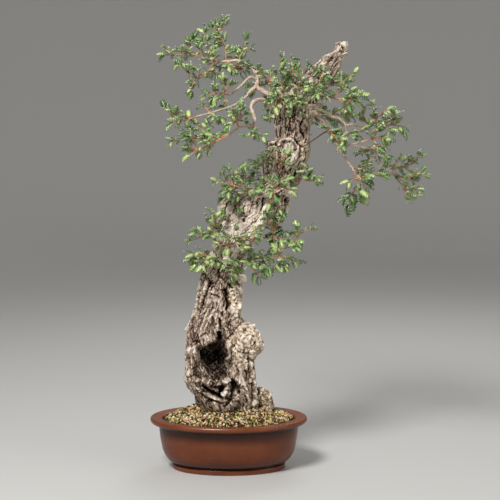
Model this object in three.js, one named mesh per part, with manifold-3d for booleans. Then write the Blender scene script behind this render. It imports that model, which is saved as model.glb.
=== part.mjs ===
// Portuguese oak bonsai: an old hollow trunk with bare limbs and sprays of small toothed
// leaves, planted in gravelly soil in an unglazed oval stoneware pot.
// Millimetres, +Z up, the front of the tree faces -Y, the pot stands on z = 0.

import * as THREE from "three";
import { mergeVertices } from "three/addons/utils/BufferGeometryUtils.js";
import Module from "manifold-3d";

const wasm = await Module();
wasm.setup();

// Driving dimensions
const GAP = 0.35;

// The eye that looks at the front of the tree, a little downwards, and the distance at which
// widths and heights are measured along its view
const EYE = new THREE.Vector3(42.4, -2000, 555);
const VIEW_TILT = 0.06;
const VIEW_DISTANCE = 2027;
const VIEW_MIDDLE = 434;

const RIM_HALF_LENGTH = 157;
const RIM_HALF_WIDTH = 111.5;
const RIM_HEIGHT = 103.5;
const LIP_WIDTH = 24;
const WALL = 7;
const FOOT_HALF_LENGTH = 112;
const FOOT_BAND = 14;
const FOOT_HEIGHT = 9;
const UNDERSIDE = 7;
const FLOOR_TOP = 16;
const POT_SIDES = 32;

const DRAIN_HOLE_RADIUS = 12;
const DRAIN_HOLE_SPREAD = 52;
const WIRE_HOLE_RADIUS = 2;
const WIRE_HOLE_X = 14;
const WIRE_HOLE_Y = 22;
const SCREEN_SIZE = 36;
const SCREEN_THICKNESS = 1.2;
const SCREEN_MESH = 2;
const SCREEN_BAR = 4;

const SOIL_EDGE = 98;
const SOIL_RISE = 25;
const SOIL_GRAIN = 1.7;

const TRUNK_SIDES = 20;

const THICK_LIMB = 3.2;
const TWIG_RADIUS = 1.15;
const TWIG_TIP_RADIUS = 0.8;
const LEAF_LENGTH = 21;
const LEAF_WIDTH = 11.5;
const LEAF_THICKNESS = 2;
const LEAF_SPACING = 9;
const LEAF_GROUP = 7;

// A repeatable draw between 0 and 1 for each pair of whole numbers
function draw(n, seed) {
  const wave = Math.sin(n * 12.9898 + seed * 78.233) * 43758.5453;
  return wave - Math.floor(wave);
}

// A point given as it is seen from the front, as [x, z, y]: x and z are measured square to the
// view, and the point is taken along its line of sight to its depth y
function seen([x, z, y]) {
  const sight = new THREE.Vector3(x - EYE.x, VIEW_DISTANCE, z - VIEW_MIDDLE);
  sight.applyAxisAngle(new THREE.Vector3(1, 0, 0), -VIEW_TILT);
  return sight.multiplyScalar((y - EYE.y) / sight.y).add(EYE);
}

// Solids are joined and cut as manifolds, and go back to a geometry at the end
function solidOf(geometry) {
  geometry.deleteAttribute("normal");
  geometry.deleteAttribute("uv");
  const merged = mergeVertices(geometry, 1e-4);
  const vertProperties = new Float32Array(merged.attributes.position.array);
  const triVerts = new Uint32Array(merged.index.array);
  return new wasm.Manifold(new wasm.Mesh({ numProp: 3, vertProperties, triVerts }));
}

function geometryOf(solid) {
  const { vertProperties, triVerts } = solid.getMesh();
  const geometry = new THREE.BufferGeometry();
  geometry.setAttribute("position", new THREE.BufferAttribute(vertProperties, 3));
  geometry.setIndex(new THREE.BufferAttribute(triVerts, 1));
  geometry.computeVertexNormals();
  return geometry;
}

function largest(solid) {
  const bodies = solid.decompose();
  return bodies.reduce((best, body) => (body.volume() > best.volume() ? body : best));
}

function joined(solids) {
  return solids.reduce((whole, solid) => whole.add(solid));
}

// A closed column of rings: place(side, step, rim) gives each point, and rim is 0 at a cap's centre
function column(sides, steps, place) {
  const geometry = new THREE.CylinderGeometry(1, 1, 1, sides, steps);
  const spots = geometry.attributes.position;
  for (let i = 0; i < spots.count; i += 1) {
    const rim = Math.hypot(spots.getX(i), spots.getZ(i)) > 0.5 ? 1 : 0;
    const turn = Math.atan2(spots.getX(i), spots.getZ(i)) / (2 * Math.PI);
    const side = (Math.round(turn * sides) + sides) % sides;
    const step = Math.round((spots.getY(i) + 0.5) * steps);
    const point = place(side, step, rim);
    spots.setXYZ(i, point.x, point.y, point.z);
  }
  return solidOf(geometry);
}

// A tapering stem along its points, with a radius for each point
function stem(points, radii, sides) {
  const last = points.length - 1;
  const frames = [];
  let across = new THREE.Vector3(0.35, -0.8, 0.5);
  for (let i = 0; i <= last; i += 1) {
    const from = points[Math.max(i - 1, 0)];
    const to = points[Math.min(i + 1, last)];
    const along = to.clone().sub(from).normalize();
    across = across.clone().addScaledVector(along, -across.dot(along)).normalize();
    frames.push([across, across.clone().cross(along)]);
  }
  return column(sides, last, (side, step, rim) => {
    const angle = (side / sides) * 2 * Math.PI;
    const reach = rim * radii[step];
    return points[step]
      .clone()
      .addScaledVector(frames[step][0], Math.sin(angle) * reach)
      .addScaledVector(frames[step][1], Math.cos(angle) * reach);
  });
}

function tapered(points, start, end, sides) {
  const last = points.length - 1;
  const radii = points.map((_, i) => start + ((end - start) * i) / last);
  return stem(points, radii, sides);
}

// A knobbly lump: a ball with three half sizes and a seeded roughness
function lump(centre, [halfX, halfZ, halfY], rough, seed, sides = 9, rows = 5) {
  const { x, y, z } = seen(centre);
  const geometry = new THREE.SphereGeometry(1, sides, rows);
  geometry.rotateX(Math.PI / 2);
  const spots = geometry.attributes.position;
  for (let i = 0; i < spots.count; i += 1) {
    const [a, b, c] = [spots.getX(i), spots.getY(i), spots.getZ(i)].map((n) => Math.round(n * 1e4) / 1e4);
    const wave = Math.sin(a * 5 + seed) + Math.sin(b * 6 + seed * 2) + Math.sin(c * 5.5 + seed * 3);
    const swell = 1 + (rough * wave) / 3;
    spots.setXYZ(i, x + a * halfX * swell, y + b * halfY * swell, z + c * halfZ * swell);
  }
  return solidOf(geometry);
}

// Pot

const innerEdge = RIM_HALF_LENGTH - LIP_WIDTH;
const innerWall = innerEdge - 2.5;
const footInner = FOOT_HALF_LENGTH - FOOT_BAND;

// The half width of the oval that has the given half length: the same wall all the way round,
// until the floor, where the rings shrink evenly to the middle
function ovalHalfWidth(halfLength) {
  const narrowing = RIM_HALF_LENGTH - RIM_HALF_WIDTH;
  if (halfLength > footInner) return halfLength - narrowing;
  return (halfLength * (footInner - narrowing)) / footInner;
}

function ovalTurned(profile, sides, relief = () => 0) {
  const outline = profile.map(([r, z]) => new THREE.Vector2(r, z));
  const geometry = new THREE.LatheGeometry(outline, sides);
  const spots = geometry.attributes.position;
  for (let i = 0; i < spots.count; i += 1) {
    const halfLength = Math.hypot(spots.getX(i), spots.getZ(i));
    const turn = Math.atan2(spots.getZ(i), spots.getX(i)) / (2 * Math.PI);
    const side = (Math.round(turn * sides * 2) + sides * 2) % (sides * 2);
    const angle = -(side / sides) * Math.PI;
    const height = spots.getY(i);
    const x = Math.cos(angle) * halfLength;
    const y = Math.sin(angle) * ovalHalfWidth(halfLength);
    spots.setXYZ(i, x, y, height + relief(x, y, height));
  }
  return solidOf(geometry);
}

// A round bar up through the floor of the pot, to cut a hole with
function upright(radius, x, y, sides) {
  const geometry = new THREE.CylinderGeometry(radius, radius, FLOOR_TOP * 2, sides);
  geometry.rotateX(Math.PI / 2);
  geometry.translate(x, y, FLOOR_TOP);
  return solidOf(geometry);
}

// The inside of the pot from the floor to the lip
const potInside = [
  [footInner + 3, FLOOR_TOP],
  [innerEdge - 12, 28],
  [innerEdge - 4, 56],
  [innerWall, 94],
];

function makePot() {
  const profile = [
    [0, UNDERSIDE],
    [footInner, UNDERSIDE],
    [footInner + 1, 0],
    [FOOT_HALF_LENGTH, 0],
    [FOOT_HALF_LENGTH + 1.5, FOOT_HEIGHT],
    [FOOT_HALF_LENGTH - 2, FOOT_HEIGHT + 2.5],
    [120, 17],
    [131, 33],
    [innerWall + WALL, 66],
    [innerWall + WALL + 1.5, 88],
    [RIM_HALF_LENGTH - 3, RIM_HEIGHT - 11],
    [RIM_HALF_LENGTH, RIM_HEIGHT - 5],
    [RIM_HALF_LENGTH - 3, RIM_HEIGHT],
    [RIM_HALF_LENGTH - 7, RIM_HEIGHT - 1.2],
    [innerEdge, RIM_HEIGHT - 2],
    ...potInside.slice().reverse(),
    [0, FLOOR_TOP],
  ];
  let pot = ovalTurned(profile, POT_SIDES);
  for (const side of [-1, 1]) {
    pot = pot.subtract(upright(DRAIN_HOLE_RADIUS, side * DRAIN_HOLE_SPREAD, 0, 12));
    pot = pot.subtract(upright(WIRE_HOLE_RADIUS, side * WIRE_HOLE_X, WIRE_HOLE_Y, 6));
  }
  return pot;
}

function block(sizeX, sizeY, sizeZ, x, y, z) {
  const geometry = new THREE.BoxGeometry(sizeX, sizeY, sizeZ);
  geometry.translate(x, y, z);
  return solidOf(geometry);
}

// A square screen of crossed bars over each drain hole
function makeScreen(side) {
  const middleX = side * DRAIN_HOLE_SPREAD;
  const middleZ = FLOOR_TOP + GAP + SCREEN_THICKNESS / 2;
  const bars = [];
  for (let i = 0; i <= SCREEN_MESH; i += 1) {
    const offset = (i / SCREEN_MESH - 0.5) * (SCREEN_SIZE - SCREEN_BAR);
    bars.push(block(SCREEN_BAR, SCREEN_SIZE, SCREEN_THICKNESS, middleX + offset, 0, middleZ));
    bars.push(block(SCREEN_SIZE, SCREEN_BAR, SCREEN_THICKNESS, middleX, offset, middleZ));
  }
  return joined(bars);
}

// Soil

function soilGrain(x, y, height) {
  if (height < SOIL_EDGE - 1) return 0;
  const coarse = Math.sin(x * 0.71 + y * 0.43) * Math.sin(y * 0.83 - x * 0.29);
  const fine = draw(Math.round(x * 10), Math.round(y * 10)) - 0.5;
  return SOIL_GRAIN * (coarse + fine);
}

function makeSoil(grownTrunk) {
  const edge = innerWall - GAP;
  const mound = [0.97, 0.84, 0.7, 0.56, 0.4].map((share) => {
    const rise = SOIL_RISE * Math.sin(((1 - share) / 0.6) * (Math.PI / 2));
    return [edge * share, SOIL_EDGE + rise];
  });
  const profile = [
    [0, FLOOR_TOP + GAP],
    ...potInside.map(([r, z]) => [r - GAP, z === FLOOR_TOP ? z + GAP : z + 0.1]),
    [edge, SOIL_EDGE - 2],
    ...mound,
    [0, SOIL_EDGE + SOIL_RISE + 1],
  ];
  let soil = ovalTurned(profile, POT_SIDES, soilGrain);
  const pocket = SCREEN_SIZE + GAP * 2;
  const pocketDepth = (SCREEN_THICKNESS + GAP) * 2;
  for (const side of [-1, 1]) {
    soil = soil.subtract(block(pocket, pocket, pocketDepth, side * DRAIN_HOLE_SPREAD, 0, FLOOR_TOP + GAP));
  }
  return largest(soil.subtract(grownTrunk));
}

// Trunk

// Height, left side and right side of the trunk at each level, as seen from the front, and the
// depths of its front and back
const trunkLevels = [
  [44, -40, 30, -30, 34],
  [84, -54, 42, -36, 44],
  [114, -57, 44, -39, 48],
  [134, -56, 38, -43, 50],
  [152, -67, 32, -49, 52],
  [174, -86, 27, -54, 53],
  [206, -86, 26, -55, 54],
  [266, -84, 24, -50, 54],
  [286, -82, 20, -48, 50],
  [304, -72, 20, -44, 48],
  [330, -66, 23, -44, 44],
  [394, -52, 27, -42, 34],
  [414, -38, 29, -40, 32],
  [454, -30, 54, -38, 36],
  [474, -28, 70, -38, 38],
  [490, -25, 94, -37, 40],
  [506, -22, 113, -36, 42],
  [524, -16, 122, -34, 44],
  [540, 10, 125, -32, 44],
  [556, 56, 134, -30, 44],
  [574, 69, 145, -31, 42],
  [598, 68, 151, -34, 38],
  [624, 68, 162, -38, 34],
  [642, 78, 162, -38, 30],
  [660, 95, 160, -38, 27],
  [684, 90, 164, -38, 26],
  [730, 93, 178, -36, 23],
  [750, 110, 192, -34, 19],
  [768, 131, 208, -33, 13],
  [786, 153, 218, -33, 7],
  [820, 189, 230, -33, -3],
  [838, 211, 238, -34, -9],
  [847, 216, 237, -34, -12],
];

function barkRelief(turn, height) {
  const furrow = Math.sin(turn * 8 + 1.6 * Math.sin(height / 37) + height / 160);
  const slab = Math.sin(turn * 5 - height / 31) * Math.sin(height / 19 + turn * 2);
  return 0.03 * furrow + 0.025 * slab;
}

function makeTrunkColumn(grow) {
  return column(TRUNK_SIDES, trunkLevels.length - 1, (side, step, rim) => {
    const [seenHeight, seenLeft, seenRight, front, back] = trunkLevels[step];
    const { x: left, z: height } = seen([seenLeft, seenHeight, 0]);
    const { x: right } = seen([seenRight, seenHeight, 0]);
    const turn = (side / TRUNK_SIDES) * 2 * Math.PI;
    const reach = rim * (1 + barkRelief(turn, height));
    const halfX = (right - left) / 2;
    const halfY = (back - front) / 2;
    const x = (left + right) / 2 + Math.sin(turn) * (halfX * reach + rim * grow);
    const y = (front + back) / 2 - Math.cos(turn) * (halfY * reach + rim * grow);
    const end = step === 0 ? -grow : step === trunkLevels.length - 1 ? grow : 0;
    return new THREE.Vector3(x, y, height + end);
  });
}

// Thick pieces grown together with the trunk: points as [x, z, y], a radius for each, and sides
const trunkMasses = [
  // right limb of the base, up to the burl and into the trunk
  [[[32, 84, -4], [30, 134, -10], [27, 178, -16], [25, 212, -18], [32, 250, -20], [24, 286, -14], [8, 308, -8]],
    [28, 28, 27, 26, 28, 19, 9], 8],
  // yellow crusted strip of bark up the right side
  [[[12, 278, -26], [12, 312, -28], [14, 350, -26], [17, 386, -22], [16, 412, -18]], [8, 13, 13, 10, 5], 6],
  // ridged lobes of the base: left front, left side and two at the back
  [[[-42, 98, -10], [-42, 136, -20], [-64, 172, -34], [-66, 216, -38], [-60, 260, -30], [-52, 300, -20]],
    [14, 16, 19, 17, 14, 9], 7],
  [[[-44, 104, 12], [-45, 138, 10], [-71, 170, 8], [-70, 206, 6], [-58, 250, 6]], [12, 14, 16, 14, 8], 6],
  [[[10, 96, 34], [2, 150, 44], [-8, 220, 46], [-16, 300, 38], [-14, 360, 30]], [22, 20, 17, 14, 8], 6],
  [[[-44, 96, 32], [-52, 150, 38], [-54, 210, 38], [-44, 270, 32]], [16, 17, 14, 8], 6],
  // rounded lip under the slit at the front
  [[[-60, 160, -36], [-46, 134, -38], [-24, 124, -40], [0, 124, -40], [14, 142, -42]], [10, 11, 12, 12, 9], 6],
  // root stub on the right, sloping into the soil
  [[[36, 130, 0], [60, 144, -6], [73, 140, -10], [80, 120, -14], [82, 100, -16]], [18, 17, 13, 11, 8], 6],
  // buried roots
  [[[-30, 96, 0], [-72, 80, 8], [-100, 62, 14]], [18, 10, 5], 5],
  [[[20, 92, 0], [68, 76, 12], [102, 58, 16]], [18, 10, 5], 5],
  [[[-10, 86, -14], [-22, 64, -40], [-36, 48, -56]], [16, 10, 5], 5],
  [[[0, 86, 20], [20, 62, 44], [36, 46, 56]], [16, 10, 5], 5],
  // broken knob on the left of the upper trunk
  [[[110, 636, -8], [88, 643, -14], [75, 646, -16]], [13, 9.5, 8], 7],
  // brown stub and nub at the top
  [[[162, 762, -10], [157, 786, -12], [156, 801, -12]], [7, 5.5, 4.5], 6],
  [[[226, 822, -20], [236, 828, -24], [241, 831, -25]], [6, 4.5, 3.5], 6],
  // long ridges of live bark down the leaning middle and the upper right side
  [[[20, 420, -28], [44, 462, -33], [78, 504, -36], [100, 548, -32], [118, 590, -28]], [9, 10, 10, 9, 6], 5],
  [[[146, 612, -20], [148, 650, -22], [152, 690, -20], [160, 724, -16]], [9, 12, 12, 8], 5],
];

const trunkLumps = [
  // burl, shoulder knob and small swellings of the bark
  [[36, 250, -28], [33, 33, 28], 0.1, 1],
  [[-5, 515, -14], [17, 23, 24], 0.1, 2],
  [[-10, 316, 36], [22, 26, 16], 0.12, 4],
  [[120, 610, 26], [20, 26, 16], 0.12, 5],
];

// Limbs of bare wood, seen from the front as [x, z, y], with the radius at the start and end
const limbs = [
  [[[124, 736, 0], [108, 749, 4], [90, 746, 8], [78, 746, 10], [66, 753, 12], [56, 762, 14], [58, 778, 16],
    [52, 792, 20], [44, 800, 24], [32, 804, 28], [18, 813, 33], [-6, 811, 42], [-28, 814, 48], [-54, 819, 54]],
  5.4, 1.8],
  [[[57, 774, 15], [42, 779, 8], [28, 766, 0], [12, 752, -7], [2, 742, -10]], 2.4, 1.6],
  [[[56, 762, 14], [42, 750, 6], [32, 738, -6], [16, 726, -22], [4, 721, -32], [-16, 714, -46], [-40, 707, -58],
    [-64, 701, -68]], 3, 1.6],
  [[[102, 708, -12], [86, 718, -24], [78, 728, -34], [68, 734, -44], [57, 734, -52], [49, 729, -58],
    [45, 720, -62], [48, 708, -66], [52, 696, -70], [51, 687, -74], [44, 682, -76], [30, 682, -78],
    [20, 678, -80], [4, 666, -84], [-6, 660, -86]], 3.4, 1.7],
  [[[64, 789, 18], [66, 797, 17]], 2.6, 2.2],
  [[[150, 720, -6], [166, 714, -14], [180, 700, -24], [190, 690, -32], [196, 678, -38], [208, 660, -46],
    [214, 648, -50], [222, 634, -54], [236, 614, -60], [252, 590, -66]], 4, 1.8],
  [[[128, 714, -20], [140, 720, -32], [162, 722, -42], [178, 716, -46], [194, 710, -48], [208, 700, -48],
    [218, 698, -46], [228, 690, -44], [235, 683, -42], [246, 685, -38], [266, 680, -30]], 3.4, 1.7],
  [[[214, 648, -50], [226, 642, -56], [242, 644, -64], [256, 648, -70], [272, 652, -76]], 2.3, 1.5],
  [[[207, 661, -45], [226, 656, -36], [236, 648, -30], [250, 642, -24], [272, 638, -14], [290, 636, -4],
    [296, 620, 4], [302, 606, 8], [322, 592, 16], [336, 586, 20]], 2.6, 1.6],
  [[[156, 720, -16], [174, 723, -26], [190, 728, -32], [195, 737, -36], [214, 746, -44]], 2.8, 1.7],
];

function makeTrunk(grow) {
  let trunk = makeTrunkColumn(grow);
  for (const [points, radii, sides] of trunkMasses) {
    trunk = trunk.add(stem(points.map(seen), radii.map((r) => r + grow), sides));
  }
  for (const [centre, halves, rough, seed] of trunkLumps) {
    trunk = trunk.add(lump(centre, halves.map((half) => half + grow), rough, seed));
  }
  for (const [points, start, end] of limbs) {
    const sides = start > THICK_LIMB ? 5 : 4;
    trunk = trunk.add(tapered(points.map(seen), start + grow, end + grow, sides));
  }
  return trunk;
}

// Hollows and cracks: the mouth at the front of the base, the slit under it, cracks and knot holes
const hollowLumps = [
  [[-29, 208, -58], [29, 37, 50], 0.12, 7],
  [[-42, 224, -46], [20, 25, 28], 0.12, 8],
  [[226, 850, -23], [6, 10, 6], 0.05, 9],
];

const hollowCuts = [
  [[[-62, 180, -58], [-50, 158, -54], [-30, 144, -50], [-8, 144, -50], [8, 160, -54]], [5, 9, 10, 9, 5], 6],
  [[[-4, 286, -52], [-2, 318, -50], [0, 352, -47]], [2.5, 4.5, 2], 5],
  [[[-18, 538, -40], [-12, 512, -44], [-8, 492, -46]], [2, 3.5, 2], 5],
  [[[70, 648, -16], [80, 645, -16], [86, 643, -15]], [5, 5, 2], 6],
  [[[150, 704, -44], [145, 672, -46], [138, 648, -44]], [2, 5, 2], 5],
];

function carve(trunk) {
  let carved = trunk;
  for (const [centre, halves, rough, seed] of hollowLumps) {
    carved = carved.subtract(lump(centre, halves, rough, seed));
  }
  for (const [points, radii, sides] of hollowCuts) {
    carved = carved.subtract(stem(points.map(seen), radii, sides));
  }
  return largest(carved);
}

// Brace wire from the right limb to the scar on the trunk
const braceWire = [[199, 672, -41], [188, 667, -42], [166, 652, -43], [146, 640, -41], [128, 634, -37]];

function makeBraceWire(grownTrunk) {
  const wire = tapered(braceWire.map(seen), 1, 1, 6);
  return largest(wire.subtract(grownTrunk));
}

// Leafy sprays

// Each spray is one or more twigs, seen from the front as [x, z, y]. Twigs after the first fork
// from it. The first point is inside the wood that the spray grows from.
const sprays = {
  crest_tall: [
    [[-6, 811, 42], [-7, 836, 44], [-14, 854, 48], [-18, 874, 52], [-22, 896, 54]],
    [[-14, 854, 48], [-28, 870, 38], [-35, 888, 34]],
    [[-18, 874, 52], [-8, 884, 60], [-3, 896, 64]],
  ],
  crest_mid: [[[-34, 815, 49], [-42, 844, 64], [-46, 858, 70], [-51, 878, 74]]],
  crest_short: [[[-48, 818, 53], [-55, 834, 38], [-60, 850, 28]]],
  crest_left: [
    [[-53, 819, 54], [-80, 828, 60], [-98, 824, 66], [-122, 824, 70], [-138, 823, 72]],
    [[-80, 828, 60], [-78, 840, 68], [-82, 862, 78]],
  ],
  crest_front: [
    [[-26, 814, 47], [-40, 792, 20], [-52, 786, 8], [-77, 777, 0], [-79, 790, -6], [-84, 804, -10]],
  ],
  crest_under: [[[-30, 814, 48], [-30, 798, 62], [-26, 782, 72]]],
  crest_inner: [[[-2, 811, 40], [9, 800, 24], [17, 788, 14]]],
  crest_back: [
    [[22, 811, 31], [20, 822, 60], [18, 830, 84]],
    [[20, 822, 60], [36, 832, 66], [52, 840, 70]],
  ],
  left_inner: [
    [[3, 743, -10], [-12, 746, -16], [-26, 746, -22], [-42, 743, -28], [-58, 742, -32]],
    [[-26, 746, -22], [-29, 766, -32]],
    [[-12, 746, -16], [-2, 760, -26], [8, 772, -32]],
  ],
  left_low_tip: [
    [[-63, 701, -68], [-78, 696, -74], [-94, 692, -80], [-104, 690, -84], [-124, 689, -90]],
    [[-104, 690, -84], [-116, 710, -94], [-122, 722, -100]],
  ],
  left_low_mid: [[[-38, 708, -57], [-46, 718, -40], [-58, 724, -22]]],
  left_mid_tip: [
    [[-4, 661, -86], [-32, 649, -92], [-44, 644, -96], [-62, 637, -100], [-94, 638, -108]],
    [[-32, 649, -92], [-38, 634, -98], [-44, 624, -100]],
  ],
  left_mid_upper: [
    [[2, 665, -84], [-16, 660, -72], [-40, 661, -60], [-62, 657, -52], [-92, 656, -42], [-120, 651, -34]],
    [[-40, 661, -60], [-52, 674, -52], [-70, 693, -44]],
    [[-62, 657, -52], [-76, 672, -50], [-86, 684, -48]],
  ],
  left_mid_inner: [[[20, 678, -80], [16, 692, -92], [10, 706, -104], [6, 716, -112]]],
  hook_under: [
    [[48, 685, -75], [53, 668, -84], [52, 654, -90]],
    [[53, 668, -84], [38, 664, -92], [24, 662, -98]],
    [[53, 668, -84], [66, 662, -92], [74, 654, -98]],
  ],
  right_low_tip: [
    [[250, 593, -65], [258, 578, -70], [268, 566, -76], [279, 575, -88]],
    [[258, 578, -70], [256, 558, -62], [243, 543, -56], [226, 526, -50]],
    [[256, 558, -62], [266, 546, -60], [274, 534, -58]],
  ],
  right_low_side: [[[246, 600, -64], [264, 592, -50], [276, 586, -42], [302, 582, -34], [320, 582, -28]]],
  right_inner: [[[194, 682, -37], [208, 666, -66], [205, 650, -76]]],
  right_long: [
    [[265, 680, -30], [278, 684, -26], [292, 688, -22], [306, 685, -18], [340, 683, -10], [362, 675, -6]],
    [[292, 688, -22], [300, 702, -30], [314, 712, -34], [328, 710, -36]],
  ],
  right_long_drop: [
    [[234, 684, -42], [234, 668, -58], [229, 644, -82]],
    [[234, 668, -58], [250, 668, -52], [264, 656, -46]],
  ],
  right_mid_front: [
    [[271, 652, -76], [286, 656, -80], [298, 658, -84], [326, 654, -88]],
    [[286, 656, -80], [298, 672, -84], [308, 680, -86]],
    [[286, 656, -80], [296, 642, -84], [304, 630, -86]],
  ],
  right_mid_tip: [[[286, 636, -6], [304, 636, -10], [320, 637, -14]]],
  right_mid_back: [[[262, 639, -18], [270, 630, 4], [279, 620, 22], [276, 590, 44]]],
  far_right: [[[334, 587, 20], [350, 578, 26], [358, 578, 28], [372, 584, 30], [396, 594, 34]]],
  far_right_drop: [[[326, 590, 18], [342, 568, 6], [350, 556, 0], [368, 536, -6]]],
  far_right_rise: [[[318, 594, 14], [334, 600, 34], [352, 602, 46], [366, 622, 54]]],
  upper_right_rise: [[[213, 746, -44], [226, 752, -46], [228, 762, -46], [222, 784, -42]]],
  upper_right: [
    [[200, 740, -38], [222, 736, -58], [238, 742, -66], [252, 756, -72]],
    [[222, 736, -58], [246, 740, -52], [276, 746, -46]],
    [[222, 736, -58], [234, 724, -66], [248, 714, -72]],
  ],
  top_left: [
    [[82, 746, 9], [84, 770, 18], [92, 782, 20], [102, 794, 22], [114, 808, 24]],
    [[84, 770, 18], [72, 778, 10], [62, 786, 4]],
  ],
  top_mid: [[[144, 752, -14], [138, 770, -24], [134, 780, -25], [128, 794, -22], [126, 811, -18]]],
  top_low: [[[116, 740, -10], [106, 766, -26], [114, 786, -36]]],
  apex_front_left: [
    [[108, 722, -18], [102, 738, -52], [96, 750, -72], [88, 758, -88]],
    [[102, 738, -52], [94, 722, -66], [88, 708, -70]],
  ],
  apex_front: [
    [[138, 730, -16], [134, 742, -56], [138, 748, -78], [146, 754, -98]],
    [[134, 742, -56], [126, 722, -70], [118, 704, -76]],
    [[134, 742, -56], [142, 722, -68], [144, 702, -72]],
  ],
  apex_front_right: [[[162, 742, -12], [168, 754, -48], [178, 762, -66], [196, 774, -80]]],
  apex_right: [[[190, 762, 0], [212, 764, -4], [230, 770, 4], [246, 782, 12]]],
  apex_crown: [[[176, 788, -14], [181, 792, -50], [190, 800, -62]]],
  back_top: [[[166, 762, 8], [160, 776, 44], [150, 782, 66], [140, 786, 86]]],
  back_left: [[[106, 690, 12], [100, 704, 54], [94, 718, 84], [88, 732, 112], [82, 740, 136]]],
  back_right: [[[152, 700, 10], [184, 702, 50], [206, 706, 78], [230, 706, 104], [254, 702, 126]]],
  back_mid: [[[130, 716, 12], [126, 738, 60], [122, 752, 92], [116, 762, 124], [110, 766, 150]]],
  back_low: [[[136, 640, 14], [130, 650, 60], [122, 656, 90], [112, 650, 116]]],
  mid_left: [
    [[80, 556, -14], [40, 558, -40], [24, 559, -48], [8, 563, -54], [-24, 570, -64], [-34, 574, -66]],
    [[8, 563, -54], [3, 584, -50], [-4, 602, -48]],
  ],
  mid_left_low: [
    [[50, 544, 0], [22, 542, -8], [6, 548, -4], [-16, 560, 4]],
    [[22, 542, -8], [18, 524, -28], [26, 510, -40]],
  ],
  mid_left_up: [[[84, 576, 4], [42, 575, 6], [34, 586, 12], [25, 593, 18]]],
  mid_left_high: [[[84, 604, -4], [64, 602, -14], [54, 606, -22], [50, 616, -30]]],
  mid_front: [
    [[106, 590, -20], [102, 604, -50], [92, 618, -62], [80, 632, -68]],
    [[102, 604, -50], [110, 618, -60], [118, 634, -64]],
  ],
  mid_front_low: [
    [[96, 552, -20], [104, 562, -54], [112, 570, -66], [122, 578, -74]],
    [[104, 562, -54], [92, 552, -62], [78, 548, -66]],
    [[104, 562, -54], [118, 556, -62], [132, 550, -64]],
  ],
  mid_right: [
    [[130, 580, -12], [148, 575, -36], [156, 580, -42], [166, 588, -48]],
    [[148, 575, -36], [164, 572, -42], [180, 570, -44]],
  ],
  low_left_upper: [
    [[-12, 458, -4], [-36, 461, -22], [-58, 466, -34], [-74, 474, -40]],
    [[-36, 461, -22], [-30, 476, -34], [-27, 491, -42]],
  ],
  low_left: [
    [[-14, 424, -10], [-34, 420, -32], [-62, 426, -44], [-79, 420, -50]],
    [[-34, 420, -32], [-50, 406, -50], [-56, 394, -56]],
  ],
  low_front: [
    [[0, 414, -20], [-2, 404, -52], [-12, 397, -66]],
    [[-2, 404, -52], [6, 388, -60], [3, 370, -64]],
    [[-2, 404, -52], [14, 402, -66], [24, 392, -74]],
  ],
  low_front_upper: [
    [[10, 440, -20], [14, 450, -56], [10, 468, -68], [16, 484, -66]],
    [[14, 450, -56], [30, 456, -62], [48, 464, -66], [64, 472, -68]],
    [[14, 450, -56], [32, 440, -64], [50, 434, -68]],
  ],
  low_right_upper: [
    [[48, 458, -4], [86, 458, -26], [118, 454, -38], [132, 454, -42], [146, 448, -46]],
    [[132, 454, -42], [138, 472, -46], [138, 488, -48]],
    [[86, 458, -26], [92, 474, -38], [96, 492, -46]],
  ],
  low_right: [
    [[14, 418, -10], [40, 414, -32], [66, 418, -38], [100, 422, -46], [122, 418, -50], [134, 402, -54]],
    [[40, 414, -32], [48, 398, -46], [58, 386, -54], [68, 396, -58]],
    [[66, 418, -38], [76, 402, -50], [88, 390, -56]],
    [[100, 422, -46], [108, 404, -54], [114, 390, -58]],
  ],
};

function lengthOf(points) {
  let total = 0;
  for (let i = 1; i < points.length; i += 1) total += points[i].distanceTo(points[i - 1]);
  return total;
}

// The point and direction at a distance along a row of points
function at(points, distance) {
  let left = distance;
  for (let i = 1; i < points.length; i += 1) {
    const step = points[i].clone().sub(points[i - 1]);
    const size = step.length();
    if (left <= size || i === points.length - 1) {
      const along = step.divideScalar(size);
      return { point: points[i - 1].clone().addScaledVector(along, left), along };
    }
    left -= size;
  }
  return null;
}

const UP = new THREE.Vector3(0, 0, 1);

// Two directions square to a twig, the first as near to level as it can be
function squareTo(along) {
  const level = Math.abs(along.z) > 0.92 ? new THREE.Vector3(1, 0, 0) : UP;
  const first = along.clone().cross(level).normalize();
  return [first, first.clone().cross(along)];
}

function outwards(along, angle) {
  const [first, second] = squareTo(along);
  return first.multiplyScalar(Math.cos(angle)).addScaledVector(second, Math.sin(angle));
}

// Leaves stand round a twig in a spiral, closer together at its tip
function leafPlaces(twig, bare, seed) {
  const places = [];
  const length = lengthOf(twig);
  const add = (s, k, forward) => {
    const { point, along } = at(twig, s);
    const out = outwards(along, k * 2.4 + draw(k, seed) * 0.9);
    const heading = along.clone().multiplyScalar(forward).add(out).normalize();
    const facing = UP.clone().addScaledVector(along, -0.3);
    facing.x += 1.7 * (draw(k, seed + 1) - 0.5);
    facing.y += 1.7 * (draw(k, seed + 2) - 0.7);
    facing.addScaledVector(heading, -facing.dot(heading)).normalize();
    const size = 0.72 + 0.5 * draw(k, seed + 3);
    places.push({ point, heading, facing, size });
  };
  let k = 0;
  for (let s = bare; s < length - 3; s += LEAF_SPACING) {
    add(s, k, 0.7);
    k += 1;
  }
  const tipStart = places.length;
  add(length - 1, k + 1, 3);
  add(length - 2, k + 2, 1.2);
  add(length - 1.5, k + 3, 1.2);
  const tip = places.splice(tipStart);
  return { places, tip };
}

// Outline of a leaf from its stalk round to the tip and back: shares of length and half width
const leafOutline = [
  [0, 0],
  [0.28, 0.86],
  [0.68, 1],
  [1, 0],
];

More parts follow.
